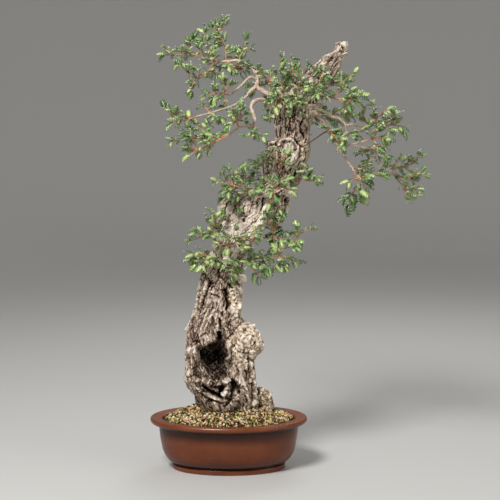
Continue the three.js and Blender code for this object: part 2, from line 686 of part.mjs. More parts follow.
function makeLeaf({ point, heading, facing, size }, grow) {
  const across = heading.clone().cross(facing);
  const count = (leafOutline.length - 1) * 2;
  const geometry = new THREE.SphereGeometry(1, count, 2);
  const spots = geometry.attributes.position;
  const length = LEAF_LENGTH * size;
  const half = (LEAF_WIDTH * size) / 2;
  for (let i = 0; i < spots.count; i += 1) {
    const pole = Math.abs(spots.getY(i)) > 0.5;
    const turn = Math.atan2(-spots.getZ(i), -spots.getX(i)) / (2 * Math.PI);
    const around = (Math.round(turn * count) + count) % count;
    const mirrored = around > count / 2;
    const [share, width] = leafOutline[mirrored ? count - around : around];
    const along = pole ? length * 0.48 : share * length + (share > 0 ? grow : 0);
    const aside = pole ? 0 : (width * half + grow * width) * (mirrored ? 1 : -1);
    const lift = pole ? Math.sign(spots.getY(i)) * (LEAF_THICKNESS / 2 + grow) : width * 1.1 - share * share * 2.4;
    const spot = point
      .clone()
      .addScaledVector(heading, along)
      .addScaledVector(across, aside)
      .addScaledVector(facing, lift);
    spots.setXYZ(i, spot.x, spot.y, spot.z);
  }
  return solidOf(geometry);
}

function touches(solid, other) {
  return !solid.intersect(other).isEmpty();
}

// A twig stops short of its last point, which is the middle of its end leaf
function twigAlong(points) {
  const spots = points.map(seen);
  const last = spots.length - 1;
  const along = spots[last].clone().sub(spots[last - 1]).normalize();
  spots[last].addScaledVector(along, -LEAF_LENGTH / 2);
  return spots;
}

function makeSpray(twigs, seed, grownTrunk, others) {
  const mains = twigs.map(twigAlong);
  const stems = [];
  const groups = [];
  mains.forEach((twig, i) => {
    stems.push(tapered(twig, TWIG_RADIUS, TWIG_TIP_RADIUS, 3));
    const own = seed + i * 17;
    const { places, tip } = leafPlaces(twig, i === 0 ? 14 : 7, own);
    for (let k = 0; k < places.length; k += LEAF_GROUP) groups.push(places.slice(k, k + LEAF_GROUP));
    groups.push(tip);
  });
  const wood = largest(joined(stems).subtract(grownTrunk));
  let leaves = null;
  for (const group of groups) {
    for (const place of group) {
      const wide = makeLeaf(place, GAP);
      const blocked = touches(wide, grownTrunk) || touches(wide, others) || (leaves && touches(wide, leaves));
      if (blocked) continue;
      const leaf = makeLeaf(place, 0);
      leaves = leaves ? leaves.add(leaf) : leaf;
      break;
    }
  }
  return largest(wood.add(leaves));
}

// Materials

function finish(colour, roughness) {
  return new THREE.MeshStandardMaterial({ color: colour, roughness, metalness: 0 });
}

const clay = finish("#6d4536", 0.55);
const gravel = finish("#94825f", 0.95);
const plastic = finish("#20221f", 0.6);
const bark = finish("#8a7a68", 0.9);
const wire = finish("#3a2a20", 0.5);
const foliage = [finish("#4b5c2b", 0.5), finish("#5d6b32", 0.5), finish("#3c4a24", 0.5)];

// Assembly

const bonsai = new THREE.Group();

function place(name, solid, material) {
  const mesh = new THREE.Mesh(geometryOf(solid), material);
  mesh.name = name;
  bonsai.add(mesh);
}

const grownTrunk = makeTrunk(GAP);
place("pot", makePot(), clay);
place("drain_screen_left", makeScreen(-1), plastic);
place("drain_screen_right", makeScreen(1), plastic);
place("soil", makeSoil(grownTrunk), gravel);
place("trunk", carve(makeTrunk(0)), bark);
const braceWireSolid = makeBraceWire(grownTrunk);
place("brace_wire", braceWireSolid, wire);

let others = braceWireSolid;
Object.entries(sprays).forEach(([name, twigs], i) => {
  const spray = makeSpray(twigs, 100 + i * 7, grownTrunk, others);
  others = others.add(spray);
  place(`spray_${name}`, spray, foliage[i % foliage.length]);
});

// The origin is under the middle of the whole tree and pot, on the surface that it stands on
const whole = new THREE.Box3().setFromObject(bonsai);
const middle = whole.getCenter(new THREE.Vector3());
bonsai.position.set(-middle.x, -middle.y, 0);

export default bonsai;
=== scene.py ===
"""An old hollow Portuguese oak grown as a bonsai in an oval stoneware pot.

Sizes are written in millimetres and become metres through MM. The front of the tree faces -Y.
"""

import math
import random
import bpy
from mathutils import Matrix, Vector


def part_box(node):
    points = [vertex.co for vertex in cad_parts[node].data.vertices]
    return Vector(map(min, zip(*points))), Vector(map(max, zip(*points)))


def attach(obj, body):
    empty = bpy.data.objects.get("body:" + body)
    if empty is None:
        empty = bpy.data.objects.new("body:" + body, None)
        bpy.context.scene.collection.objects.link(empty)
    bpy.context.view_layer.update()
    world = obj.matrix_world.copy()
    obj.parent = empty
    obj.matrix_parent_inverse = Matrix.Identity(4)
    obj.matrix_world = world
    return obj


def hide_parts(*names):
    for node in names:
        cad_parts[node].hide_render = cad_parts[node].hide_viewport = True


bl_info = {
    "name": "Portuguese Oak Bonsai",
    "version": (1, 0, 0),
    "blender": (4, 5, 0),
    "location": "3D View > Sidebar > Bonsai",
    "description": "Builds an old hollow oak bonsai in an oval stoneware pot",
    "category": "Object",
}

import bmesh
import bpy
import numpy
from bpy.props import FloatProperty, FloatVectorProperty, PointerProperty
from mathutils import Euler, Matrix, Vector, noise
from mathutils.bvhtree import BVHTree

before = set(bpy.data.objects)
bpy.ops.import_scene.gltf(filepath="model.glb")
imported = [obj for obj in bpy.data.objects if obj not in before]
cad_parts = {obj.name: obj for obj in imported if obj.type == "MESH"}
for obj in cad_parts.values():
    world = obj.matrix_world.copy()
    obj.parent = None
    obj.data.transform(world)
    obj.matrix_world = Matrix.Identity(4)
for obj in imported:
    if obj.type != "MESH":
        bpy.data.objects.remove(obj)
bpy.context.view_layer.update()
pot_low, pot_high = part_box("pot")

MM = 0.001
UP = Vector((0, 0, 1))
POT_CENTRE = Vector(((pot_low.x + pot_high.x) / 2, (pot_low.y + pot_high.y) / 2, 0))

# The eye in front of the tree, in millimetres from the middle of the pot. It looks a little down.
EYE = Vector((42.4, -2000, 555))
VIEW_TILT = 0.06
VIEW_DISTANCE = 2027
VIEW_MIDDLE = 434

# Pot, in millimetres
LIP_WIDTH = 24
WALL = 7
FOOT_BAND = 14
FOOT_HEIGHT = 9
UNDERSIDE = 7
FLOOR_TOP = 16
DRAIN_HOLE_RADIUS = 12
DRAIN_HOLE_SPREAD = 52
WIRE_HOLE_RADIUS = 2
WIRE_HOLE_X = 14
WIRE_HOLE_Y = 22
POT_STEPS = 144

# Drain screens: holes along a side, and the shares of their box that they and their threads fill
SCREEN_HOLES = 13
SCREEN_FILL = 0.98
SCREEN_THREAD = 0.4

# Soil, in millimetres: its height at the pot's wall, its rise in the middle and how far it lies
# under the stones
SOIL_EDGE = 98
SOIL_RISE = 25
SOIL_UNDER_STONES = 2.2

# The share of the pot's inside that the soil fills from side to side, so that the two don't touch
SOIL_SLACK = 0.9985
SOIL_STEPS = 96

# Stones: the corners of one, the share of the second layer that is left out, how far each corner
# is knocked in or out, and the share of the mound that they cover
STONE_CORNERS = 12
STONE_GAPS = 0.45
STONE_KNOCK = 0.22
STONE_COVER = 0.985

# Sets where the noise in the wood and the twigs starts, so that it is the same in every run
NOISE_SEED = 12

# Twigs and leaves, in millimetres
LEAF_REACH = 21
TWIG_BARE = 14
FORK_BARE = 7
SHOOT_BARE = 5
TWIG_RADII = (1.45, 0.9)
SHOOT_RADII = (0.95, 0.6)
TWIG_ROOM = 1
LEAF_ROOM = 0.8
INSIDE_WOOD = 30

# Colour slot of the twigs in a spray, after the leaves' upper and lower skins
TWIG_SLOT = 2


def draw(n, seed):
    """A repeatable draw between 0 and 1 for each pair of whole numbers."""
    wave = math.sin(n * 12.9898 + seed * 78.233) * 43758.5453
    return wave - math.floor(wave)


def seen(spot):
    """A point seen from the front as (x, z, y): x and z square to the view, y its real depth."""
    x, z, y = spot
    sight = Vector((x - EYE.x, VIEW_DISTANCE, z - VIEW_MIDDLE))
    sight.rotate(Euler((-VIEW_TILT, 0, 0)))
    return EYE + sight * ((y - EYE.y) / sight.y)


def fade(low, high, value):
    """0 below low and 1 above high, with soft ends."""
    share = min(max((value - low) / (high - low), 0), 1)
    return share * share * (3 - 2 * share)


# Colour and nodes


def linear(code):
    """An sRGB hex colour as linear red, green, blue and alpha."""
    parts = [int(code[i : i + 2], 16) / 255 for i in (1, 3, 5)]
    return (*[p / 12.92 if p <= 0.04045 else ((p + 0.055) / 1.055) ** 2.4 for p in parts], 1)


def add_node(tree, kind, values, links=None):
    """A node with its settings, linked to other nodes, or to an output that isn't a node's first."""
    node = tree.nodes.new(kind)
    for name, value in values.items():
        if name == "stops":
            stops = node.color_ramp.elements
            while len(stops) < len(value):
                stops.new(0.5)
            for stop, (place, shade) in zip(stops, value):
                stop.position = place
                stop.color = linear(shade) if isinstance(shade, str) else shade
        elif name == "interpolation":
            node.color_ramp.interpolation = value
        elif isinstance(name, int) or name in node.inputs:
            node.inputs[name].default_value = value
        else:
            setattr(node, name, value)
    for name, source in (links or {}).items():
        output = source.outputs[0] if isinstance(source, bpy.types.Node) else source
        tree.links.new(output, node.inputs[name])
    return node


def new_material(name):
    made = bpy.data.materials.new(name)
    made.use_nodes = True
    made.node_tree.nodes.clear()
    return made, made.node_tree


def surface(tree, values, links):
    """The principled surface of a material, joined to its output."""
    shader = add_node(tree, "ShaderNodeBsdfPrincipled", values, links)
    add_node(tree, "ShaderNodeOutputMaterial", {}, {"Surface": shader})


def tint(base, other, share):
    return tuple(a + (b - a) * share for a, b in zip(base, other))


# Settings of a node that darkens one colour by another
MULTIPLIED = {"data_type": "RGBA", "blend_type": "MULTIPLY"}

# Painted shade on the clay, from the foot to the lip, as shares of the pot's height: dark in the groove
# above the foot and in a band under the lip, where shade falls
PAINTED_SHADE_BANDS = [
    (0.08, "#ffffff"),
    (0.1, "#352d28"),
    (0.15, "#8d857d"),
    (0.3, "#ece4de"),
    (0.6, "#ececec"),
    (0.76, "#a2988f"),
    (0.86, "#2c2521"),
    (0.9, "#6f655d"),
    (0.93, "#ffffff"),
]


# Unglazed stoneware, burnished before firing: a satin red-brown with faint turning marks 2.4 mm
# apart, a soft mottle 45 mm across from the kiln, fine dark iron specks, and painted shade in a
# band under the lip and in the groove above the foot. Specks and grain are coarser than in real
# clay, so that they show.
def stoneware(pot):
    made, tree = new_material("unglazed_stoneware")
    clay = (*pot.clay, 1)
    place = add_node(tree, "ShaderNodeTexCoord", {}).outputs["Object"]
    mottle = add_node(tree, "ShaderNodeTexNoise", {"Scale": 22, "Detail": 4, "Roughness": 0.6}, {0: place})
    darker, lighter = tint(clay, linear("#271612"), 0.3), tint(clay, linear("#aa6f50"), 0.09)
    kiln = add_node(tree, "ShaderNodeValToRGB", {"stops": [(0.3, darker), (0.7, lighter)]}, {0: mottle})
    specks = add_node(tree, "ShaderNodeTexVoronoi", {"Scale": 420}, {0: place})
    dark_spots = [(0.08, "#4a2a20"), (0.16, "#ffffff")]
    iron = add_node(tree, "ShaderNodeValToRGB", {"stops": dark_spots}, {0: specks})
    specked = add_node(tree, "ShaderNodeMix", {**MULTIPLIED, 0: 0.5}, {6: kiln, 7: iron}).outputs[2]
    level = add_node(tree, "ShaderNodeSeparateXYZ", {}, {0: place}).outputs[2]
    rise = add_node(tree, "ShaderNodeMapRange", {"From Max": pot.rim_height}, {0: level})
    # painted shade: darker in the groove above the foot and in a band under the lip
    painted_shade = add_node(tree, "ShaderNodeValToRGB", {"stops": PAINTED_SHADE_BANDS}, {0: rise})
    colour = add_node(tree, "ShaderNodeMix", {**MULTIPLIED, 0: 0.93}, {6: specked, 7: painted_shade}).outputs[2]
    satin = {"From Min": 0.3, "From Max": 0.7, "To Min": 0.24, "To Max": 0.38}
    sheen = add_node(tree, "ShaderNodeMapRange", satin, {0: mottle})
    turned = add_node(tree, "ShaderNodeMapping", {"Scale": (6, 6, 420)}, {0: place})
    marks = add_node(tree, "ShaderNodeTexNoise", {"Scale": 1, "Detail": 2}, {0: turned})
    grain = add_node(tree, "ShaderNodeTexNoise", {"Scale": 700, "Detail": 2}, {0: place})
    fine = add_node(tree, "ShaderNodeBump", {"Strength": 0.1, "Distance": 0.0004}, {"Height": grain})
    turning = {"Height": marks, "Normal": fine}
    relief = add_node(tree, "ShaderNodeBump", {"Strength": 0.12, "Distance": 0.0006}, turning)
    finish = {"Base Color": colour, "Roughness": sheen, "Normal": relief}
    surface(tree, {"Specular IOR Level": 0.32}, finish)
    return made


# The stones' colours and the share of the draw at which each begins: cream, tan, brown and near
# black, then a few grey and mossy green ones
STONE_SHADES = [
    (0.0, "#f4e8c8"),
    (0.14, "#e8d09c"),
    (0.29, "#cfa970"),
    (0.43, "#b08450"),
    (0.55, "#85593a"),
    (0.67, "#57392a"),
    (0.78, "#2f241d"),
    (0.86, "#7b7d80"),
    (0.91, "#76882c"),
    (0.955, "#a8a84e"),
]


# Akadama, pumice and river grit: each stone has one of the colours above, dulled by patches of
# dust 1.7 mm across
def grit():
    made, tree = new_material("mixed_grit")
    tone = add_node(tree, "ShaderNodeAttribute", {"attribute_name": "tone"}).outputs["Fac"]
    kinds = {"interpolation": "CONSTANT", "stops": STONE_SHADES}
    stones = add_node(tree, "ShaderNodeValToRGB", kinds, {0: tone})
    place = add_node(tree, "ShaderNodeTexCoord", {}).outputs["Object"]
    dust = add_node(tree, "ShaderNodeTexNoise", {"Scale": 600, "Detail": 3}, {0: place})
    dulled = [(0.3, "#a89d90"), (0.65, "#ffffff")]
    shade = add_node(tree, "ShaderNodeValToRGB", {"stops": dulled}, {0: dust})
    colour = add_node(tree, "ShaderNodeMix", {**MULTIPLIED, 0: 0.7}, {6: stones, 7: shade}).outputs[2]
    relief = add_node(tree, "ShaderNodeBump", {"Strength": 0.5, "Distance": 0.0006}, {"Height": dust})
    surface(tree, {"Roughness": 0.9, "Specular IOR Level": 0.25}, {"Base Color": colour, "Normal": relief})
    return made


# Damp soil under the grit: dark brown crumbs 4 mm across that only show in the gaps between stones
def damp_soil():
    made, tree = new_material("damp_soil")
    place = add_node(tree, "ShaderNodeTexCoord", {}).outputs["Object"]
    crumbs = add_node(tree, "ShaderNodeTexVoronoi", {"Scale": 260}, {0: place})
    shades = [(0.1, "#6b5136"), (0.5, "#3a2a1c"), (0.8, "#1d140e")]
    colour = add_node(tree, "ShaderNodeValToRGB", {"stops": shades}, {0: crumbs})
    rounded = {"Strength": 0.8, "Distance": 0.002, "invert": True}
    relief = add_node(tree, "ShaderNodeBump", rounded, {"Height": crumbs})
    surface(tree, {"Roughness": 0.95}, {"Base Color": colour, "Normal": relief})
    return made


# The shades of live bark and of each coat over it, from the fissures to the worn tops
BARK_SHADES = {
    "bark": [(0.0, "#0d0805"), (0.2, "#472d20"), (0.42, "#897364"), (0.66, "#b9a796"), (0.95, "#efe6da")],
    "cork": [(0.0, "#150c07"), (0.22, "#5c4434"), (0.45, "#a38c76"), (0.66, "#c9b8a2"), (0.92, "#f5ecdf")],
    "bare": [(0.0, "#1c120c"), (0.35, "#846f5e"), (0.66, "#bdafa0"), (0.95, "#f6efe6")],
    "char": [(0.25, "#060403"), (0.6, "#261b14"), (0.92, "#7d6754")],
    "moss": [(0.1, "#2c2a14"), (0.5, "#7a7c36"), (0.85, "#b3b267")],
}
COATS = ("cork", "bare", "char", "moss")


# Old oak bark: corky grey-tan ridges, pale where they are worn, over dark fissures that are partly
# the bark's own colour and partly painted shade. The light attribute follows the worked relief, with
# painted shade in the furrows and painted light on the leaning middle; cork is the crumbly parts,
# bare the silvery dead wood, char the burnt inside of the hollow with painted shade over it and a
# painted shadow under the top's foliage, and moss the green crumbs, in tufts 5 mm across. The grain
# attribute runs along the trunk, with fibres 3 mm wide and 10 mm long. Crumbs are 3 mm and blotches
# 30 mm across.
def oak_bark():
    made, tree = new_material("oak_bark")
    along = add_node(tree, "ShaderNodeAttribute", {"attribute_name": "grain"}).outputs["Vector"]
    place = add_node(tree, "ShaderNodeTexCoord", {}).outputs["Object"]
    light = add_node(tree, "ShaderNodeAttribute", {"attribute_name": "light"}).outputs["Fac"]
    stretched = add_node(tree, "ShaderNodeMapping", {"Scale": (330, 330, 95)}, {0: along})
    strands = {"Scale": 1, "Detail": 5, "Roughness": 0.65}
    fibre = add_node(tree, "ShaderNodeTexNoise", strands, {0: stretched})
    centred = add_node(tree, "ShaderNodeMath", {"operation": "SUBTRACT", 1: 0.5}, {0: fibre})
    # the fibres and the light attribute, with its wear, painted shade and painted light, set the bark's
    # tone
    wear_and_shade = add_node(tree, "ShaderNodeMath", {"operation": "MULTIPLY_ADD", 1: 2.1}, {0: centred, 2: light})
    coats = {
        name: add_node(tree, "ShaderNodeValToRGB", {"stops": stops}, {0: wear_and_shade})
        for name, stops in BARK_SHADES.items()
    }
    tufts = add_node(tree, "ShaderNodeTexNoise", {"Scale": 210, "Detail": 2}, {0: place})
    clumps = add_node(tree, "ShaderNodeMapRange", {"From Min": 0.5, "From Max": 0.62}, {0: tufts})
    colour = coats["bark"]
    for name in COATS:
        share = add_node(tree, "ShaderNodeAttribute", {"attribute_name": name}).outputs["Fac"]
        if name == "moss":
            share = add_node(tree, "ShaderNodeMath", {"operation": "MULTIPLY"}, {0: share, 1: clumps})
        over = {0: share, 6: colour, 7: coats[name]}
        colour = add_node(tree, "ShaderNodeMix", {"data_type": "RGBA"}, over).outputs[2]
    blotch = add_node(tree, "ShaderNodeTexNoise", {"Scale": 34, "Detail": 3}, {0: place})
    tones = [(0.35, "#b9a89a"), (0.65, "#fffaf0")]
    warm = add_node(tree, "ShaderNodeValToRGB", {"stops": tones}, {0: blotch})
    colour = add_node(tree, "ShaderNodeMix", {**MULTIPLIED, 0: 0.6}, {6: colour, 7: warm}).outputs[2]
    crumb = add_node(tree, "ShaderNodeTexVoronoi", {"Scale": 330}, {0: place})
    coarse = add_node(tree, "ShaderNodeBump", {"Strength": 0.8, "Distance": 0.0022}, {"Height": fibre})
    rounded = {"Strength": 0.7, "Distance": 0.0014, "invert": True}
    relief = add_node(tree, "ShaderNodeBump", rounded, {"Height": crumb, "Normal": coarse})
    surface(tree, {"Roughness": 0.92, "Specular IOR Level": 0.2}, {"Base Color": colour, "Normal": relief})
    return made


# Young oak wood: thin smooth bark, grey-pink on the limbs and red-brown on the twigs, with
# paler flecks 1 mm wide and 6 mm long
def young_bark(name, dark, light):
    made, tree = new_material(name)
    along = add_node(tree, "ShaderNodeAttribute", {"attribute_name": "grain"}).outputs["Vector"]
    stretched = add_node(tree, "ShaderNodeMapping", {"Scale": (900, 900, 160)}, {0: along})
    flecks = add_node(tree, "ShaderNodeTexNoise", {"Scale": 1, "Detail": 4}, {0: stretched})
    shades = [(0.35, (*dark, 1)), (0.68, (*light, 1))]
    colour = add_node(tree, "ShaderNodeValToRGB", {"stops": shades}, {0: flecks})
    relief = add_node(tree, "ShaderNodeBump", {"Strength": 0.5, "Distance": 0.0005}, {"Height": flecks})
    surface(tree, {"Roughness": 0.7}, {"Base Color": colour, "Normal": relief})
    return made


# Leathery oak leaf: waxy green above with a pale midrib and side veins 2.6 mm apart, duller
# grey-green below. The tone attribute turns a leaf from old dark green to young yellow-green.
def leaf_skin(name, old, middle, young, rough, vein):
    made, tree = new_material(name)
    tone = add_node(tree, "ShaderNodeAttribute", {"attribute_name": "tone"}).outputs["Fac"]
    shades = [(0.0, (*old, 1)), (0.45, (*middle, 1)), (1.0, (*young, 1))]
    green = add_node(tree, "ShaderNodeValToRGB", {"stops": shades}, {0: tone})
    unrolled = add_node(tree, "ShaderNodeUVMap", {})
    from_stalk, across, _ = add_node(tree, "ShaderNodeSeparateXYZ", {}, {0: unrolled}).outputs
    aside = add_node(tree, "ShaderNodeMath", {"operation": "SUBTRACT", 1: 0.5}, {0: across})
    away = add_node(tree, "ShaderNodeMath", {"operation": "ABSOLUTE"}, {0: aside})
    slant = {"operation": "MULTIPLY_ADD", 1: -0.9}
    slanted = add_node(tree, "ShaderNodeMath", slant, {0: away, 2: from_stalk})
    beats = add_node(tree, "ShaderNodeMath", {"operation": "MULTIPLY", 1: 44}, {0: slanted})
    ribs = add_node(tree, "ShaderNodeMath", {"operation": "SINE"}, {0: beats})
    thin = {"From Min": 0.86, "From Max": 1.0, "To Max": 0.5}
    side_veins = add_node(tree, "ShaderNodeMapRange", thin, {0: ribs})
    midrib = add_node(tree, "ShaderNodeMapRange", {"From Min": 0.07, "From Max": 0.02}, {0: away})
    veins = add_node(tree, "ShaderNodeMath", {"operation": "MAXIMUM"}, {0: side_veins, 1: midrib})
    faint = add_node(tree, "ShaderNodeMath", {"operation": "MULTIPLY", 1: 0.55}, {0: veins})
    over = {0: faint, 6: green}
    colour = add_node(tree, "ShaderNodeMix", {"data_type": "RGBA", 7: linear(vein)}, over).outputs[2]
    relief = add_node(tree, "ShaderNodeBump", {"Strength": 0.5, "Distance": 0.0006}, {"Height": veins})
    surface(tree, {"Roughness": rough, "Specular IOR Level": 0.7}, {"Base Color": colour, "Normal": relief})
    return made


# Brown anodised aluminium training wire: satin, with scuffs about 3 mm long
def training_wire():
    made, tree = new_material("brown_anodised_aluminium")
    place = add_node(tree, "ShaderNodeTexCoord", {}).outputs["Object"]
    scuffs = add_node(tree, "ShaderNodeTexNoise", {"Scale": 300, "Detail": 3}, {0: place})
    browns = [(0.35, "#3d291e"), (0.7, "#6a4936")]
    colour = add_node(tree, "ShaderNodeValToRGB", {"stops": browns}, {0: scuffs})
    rough = add_node(tree, "ShaderNodeMapRange", {"To Min": 0.3, "To Max": 0.55}, {0: scuffs})
    surface(tree, {"Metallic": 1.0}, {"Base Color": colour, "Roughness": rough})
    return made


# Black polyethylene mesh, moulded, with dust from the soil in patches 5 mm across
def screen_plastic():
    made, tree = new_material("black_polyethylene")
    place = add_node(tree, "ShaderNodeTexCoord", {}).outputs["Object"]
    dust = add_node(tree, "ShaderNodeTexNoise", {"Scale": 180, "Detail": 4}, {0: place})
    shades = [(0.45, "#191a18"), (0.8, "#4b4237")]
    colour = add_node(tree, "ShaderNodeValToRGB", {"stops": shades}, {0: dust})
    surface(tree, {"Roughness": 0.55}, {"Base Color": colour})
    return made


# Matt studio paper for the floor, with a tooth of 1 mm, coarser than real so that it shows
def studio_paper(shade):
    made, tree = new_material("studio_paper")
    place = add_node(tree, "ShaderNodeTexCoord", {}).outputs["Object"]
    tooth = add_node(tree, "ShaderNodeTexNoise", {"Scale": 900}, {0: place})
    relief = add_node(tree, "ShaderNodeBump", {"Strength": 0.05, "Distance": 0.0005}, {"Height": tooth})
    surface(tree, {"Base Color": (*shade, 1), "Roughness": 0.9}, {"Normal": relief})
    return made


# Making pieces


def as_mesh(made, name):
    """A bmesh turned into a mesh, or the mesh itself, with that name."""
    if isinstance(made, bmesh.types.BMesh):
        mesh = bpy.data.meshes.new(name)
        made.to_mesh(mesh)
        made.free()
        return mesh
    made.name = name
    return made


def put(name, data):
    """A new object of the scene."""
    obj = bpy.data.objects.new(name, data)
    bpy.context.scene.collection.objects.link(obj)
    return obj


def piece(name, made, materials, replaced, smooth=True):
    """A finished mesh as an object of the scene that rides on the tree's one body."""
    mesh = as_mesh(made, name)
    for material in materials:
        mesh.materials.append(material)
    if smooth:
        mesh.shade_smooth()
    obj = put(name, mesh)
    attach(obj, "root")
    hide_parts(*replaced)
    return obj


def settled(made, modifiers):
    """The mesh that is left when modifiers have been applied to a mesh or a bmesh."""
    obj = put("blank", as_mesh(made, "blank"))
    for kind, values in modifiers:
        modifier = obj.modifiers.new(kind, kind)
        for name, value in values.items():
            setattr(modifier, name, value)
    depsgraph = bpy.context.evaluated_depsgraph_get()
    finished = bpy.data.meshes.new_from_object(obj.evaluated_get(depsgraph))
    bpy.data.objects.remove(obj)
    return finished


def cut_out(made, tool, further=()):
    """The mesh with the tool's shape cut out of it, and then further modifiers applied."""
    cutter = put("cutter", as_mesh(tool, "cutter"))
    cut = {"operation": "DIFFERENCE", "object": cutter, "solver": "MANIFOLD"}
    finished = settled(made, [("BOOLEAN", cut), *further])
    bpy.data.objects.remove(cutter)
    return finished


def to_frame(bm):
    """Moves a piece made in millimetres from the middle of the pot to its place in metres."""
    place = Matrix.Translation(POT_CENTRE) @ Matrix.Scale(MM, 4)
    bmesh.ops.transform(bm, matrix=place, verts=bm.verts[:])
    return bm


def column(bm, sides, steps, place):
    """A closed column of rings, where place(turn, step) gives the point of each corner."""
    start = len(bm.verts)
    bmesh.ops.create_cone(bm, cap_ends=True, segments=sides, radius1=1, radius2=1, depth=1)
    bm.verts.ensure_lookup_table()
    # each upright edge once, in an order that is the same in every run
    edges = dict.fromkeys(edge for spot in bm.verts[start:] for edge in spot.link_edges)
    uprights = [edge for edge in edges if abs(edge.verts[0].co.z - edge.verts[1].co.z) > 0.5]
    bmesh.ops.subdivide_edges(bm, edges=uprights, cuts=steps - 1, use_grid_fill=True)
    bm.verts.ensure_lookup_table()
    corners = bm.verts[start:]
    for corner in corners:
        turn = math.atan2(corner.co.x, -corner.co.y)
        place(corner, turn, round((corner.co.z + 0.5) * steps))
    return corners


def through(points, spans):
    """A smooth line through the points, with that many spans between each two."""
    line = []
    last = len(points) - 1
    for i in range(last):
        before, here = points[max(i - 1, 0)], points[i]
        there, after = points[i + 1], points[min(i + 2, last)]
        bend = 2 * before - 5 * here + 4 * there - after
        twist = 3 * here - before - 3 * there + after
        for step in range(spans):
            t = step / spans
            line.append(0.5 * (2 * here + (there - before) * t + bend * t * t + twist * t * t * t))
    return [*line, points[-1].copy()]


def stem(bm, points, radii, sides, knobbly=0):
    """A round stem along its points, with a radius for each. The grain layer runs along it."""
    grain = bm.verts.layers.float_vector.get("grain") or bm.verts.layers.float_vector.new("grain")
    last = len(points) - 1
    frames = []
    across = Vector((0.35, -0.8, 0.5))
    gone = [0]
    for i, point in enumerate(points):
        along = (points[min(i + 1, last)] - points[max(i - 1, 0)]).normalized()
        across = (across - along * across.dot(along)).normalized()
        frames.append((across, across.cross(along)))
        if i:
            gone.append(gone[-1] + (point - points[i - 1]).length)

    def place(corner, turn, step):
        radius = radii[step]
        if knobbly:
            spot = Vector((math.sin(turn) * 2, math.cos(turn) * 2, gone[step] / (radius * 2.5)))
            radius *= 1 + knobbly * noise.noise(spot + points[0])
        first, second = frames[step]
        aside, ahead = math.sin(turn), math.cos(turn)
        corner.co = points[step] + first * (aside * radius) + second * (ahead * radius)
        corner[grain] = (aside * radii[step] * MM, ahead * radii[step] * MM, gone[step] * MM)

    return column(bm, sides, last, place)


def grow(bm, points, radii, sides):
    """A stem along points as seen from the front, with its thickness smooth from one to the next."""
    line = through([seen(point) for point in points], MASS_SPANS)
    widths = through([Vector((radius, 0, 0)) for radius in radii], MASS_SPANS)
    stem(bm, line, [width.x for width in widths], sides)


def lump(bm, centre, halves, rough, seed):
    """A knobbly lump: a ball with three half sizes (x, z, y) and a seeded roughness."""
    middle = seen(centre)
    half_x, half_z, half_y = halves
    ball = bmesh.ops.create_icosphere(bm, subdivisions=4, radius=1)["verts"]
    for spot in ball:
        a, b, c = spot.co
        wave = math.sin(a * 5 + seed) + math.sin(b * 6 + seed * 2) + math.sin(c * 5.5 + seed * 3)
        swell = 1 + rough * wave / 3
        spot.co = middle + Vector((a * half_x, b * half_y, c * half_z)) * swell


# Pot


def spun(profile, corners, steps):
    """A profile of (reach, height) points with rounded corners, turned once round the upright axis."""
    bm = bmesh.new()
    spots = [bm.verts.new((reach, 0, height)) for reach, height in profile]
    for pair in zip(spots, spots[1:]):
        bm.edges.new(pair)
    for index, radius in corners.items():
        bmesh.ops.bevel(
            bm,
            geom=[spots[index]],
            offset=radius,
            offset_type="OFFSET",
            segments=5,
            profile=0.5,
            affect="VERTICES",
            material=-1,
        )
    bmesh.ops.spin(
        bm,
        geom=bm.verts[:] + bm.edges[:],
        axis=(0, 0, 1),
        cent=(0, 0, 0),
        angle=2 * math.pi,
        steps=steps,
        use_merge=True,
    )
    bmesh.ops.remove_doubles(bm, verts=bm.verts[:], dist=0.001)
    bmesh.ops.recalc_face_normals(bm, faces=bm.faces[:])
    return bm


def oval_half_width(reach, pot):
    """Half width of the oval with that half length: even walls, then even rings over the floor."""
    narrowing = (pot.rim_length - pot.rim_width) / 2 / MM
    floor_reach = pot.foot_length / 2 / MM - FOOT_BAND
    if reach > floor_reach:
        return reach - narrowing
    return reach * (floor_reach - narrowing) / floor_reach


def make_oval(bm, pot):
    for spot in bm.verts:
        reach = math.hypot(spot.co.x, spot.co.y)
        if reach > 0.01:
            spot.co.y *= oval_half_width(reach, pot) / reach
    return bm


def pot_inside(pot):
    """The inside of the wall from the floor up, as (reach, height) points."""
    inner_edge = pot.rim_length / 2 / MM - LIP_WIDTH
    floor_reach = pot.foot_length / 2 / MM - FOOT_BAND
    upper = [(inner_edge - 12, 28), (inner_edge - 4, 56), (inner_edge - 2.5, 94)]
    return [(floor_reach + 3, FLOOR_TOP), *upper]


def pot_outside(pot):
    """The outside from the underside's middle over the foot and the wall to the lip's inner edge."""
    rim, top, foot = pot.rim_length / 2 / MM, pot.rim_height / MM, pot.foot_length / 2 / MM
    wall = pot_inside(pot)[-1][0] + WALL
    return [
        (0, UNDERSIDE),
        (foot - FOOT_BAND, UNDERSIDE),
        (foot - FOOT_BAND + 1, 0),
        (foot, 0),
        (foot + 1.5, FOOT_HEIGHT),
        (foot - 2, FOOT_HEIGHT + 2.5),
        (120, 17),
        (131, 33),
        (wall, 66),
        (wall + 1.5, 88),
        (rim - 3, top - 11),
        (rim, top - 5),
        (rim - 3, top),
        (rim - 7, top - 1.2),
        (rim - LIP_WIDTH, top - 2),
    ]


# How round the corners of the pot's outside are: the corner's place in the profile, and a radius
POT_ROUNDING = {
    1: 0.8,
    2: 0.6,
    3: 1.5,
    4: 2.6,
    5: 1.2,
    6: 6,
    7: 9,
    8: 12,
    9: 2,
    10: 3,
    11: 2.6,
    12: 1.9,
    14: 2.5,
}


def colour_of(name, description, code):
    return FloatVectorProperty(
        name=name, description=description, default=linear(code)[:3], size=3, min=0, max=1, subtype="COLOR"
    )


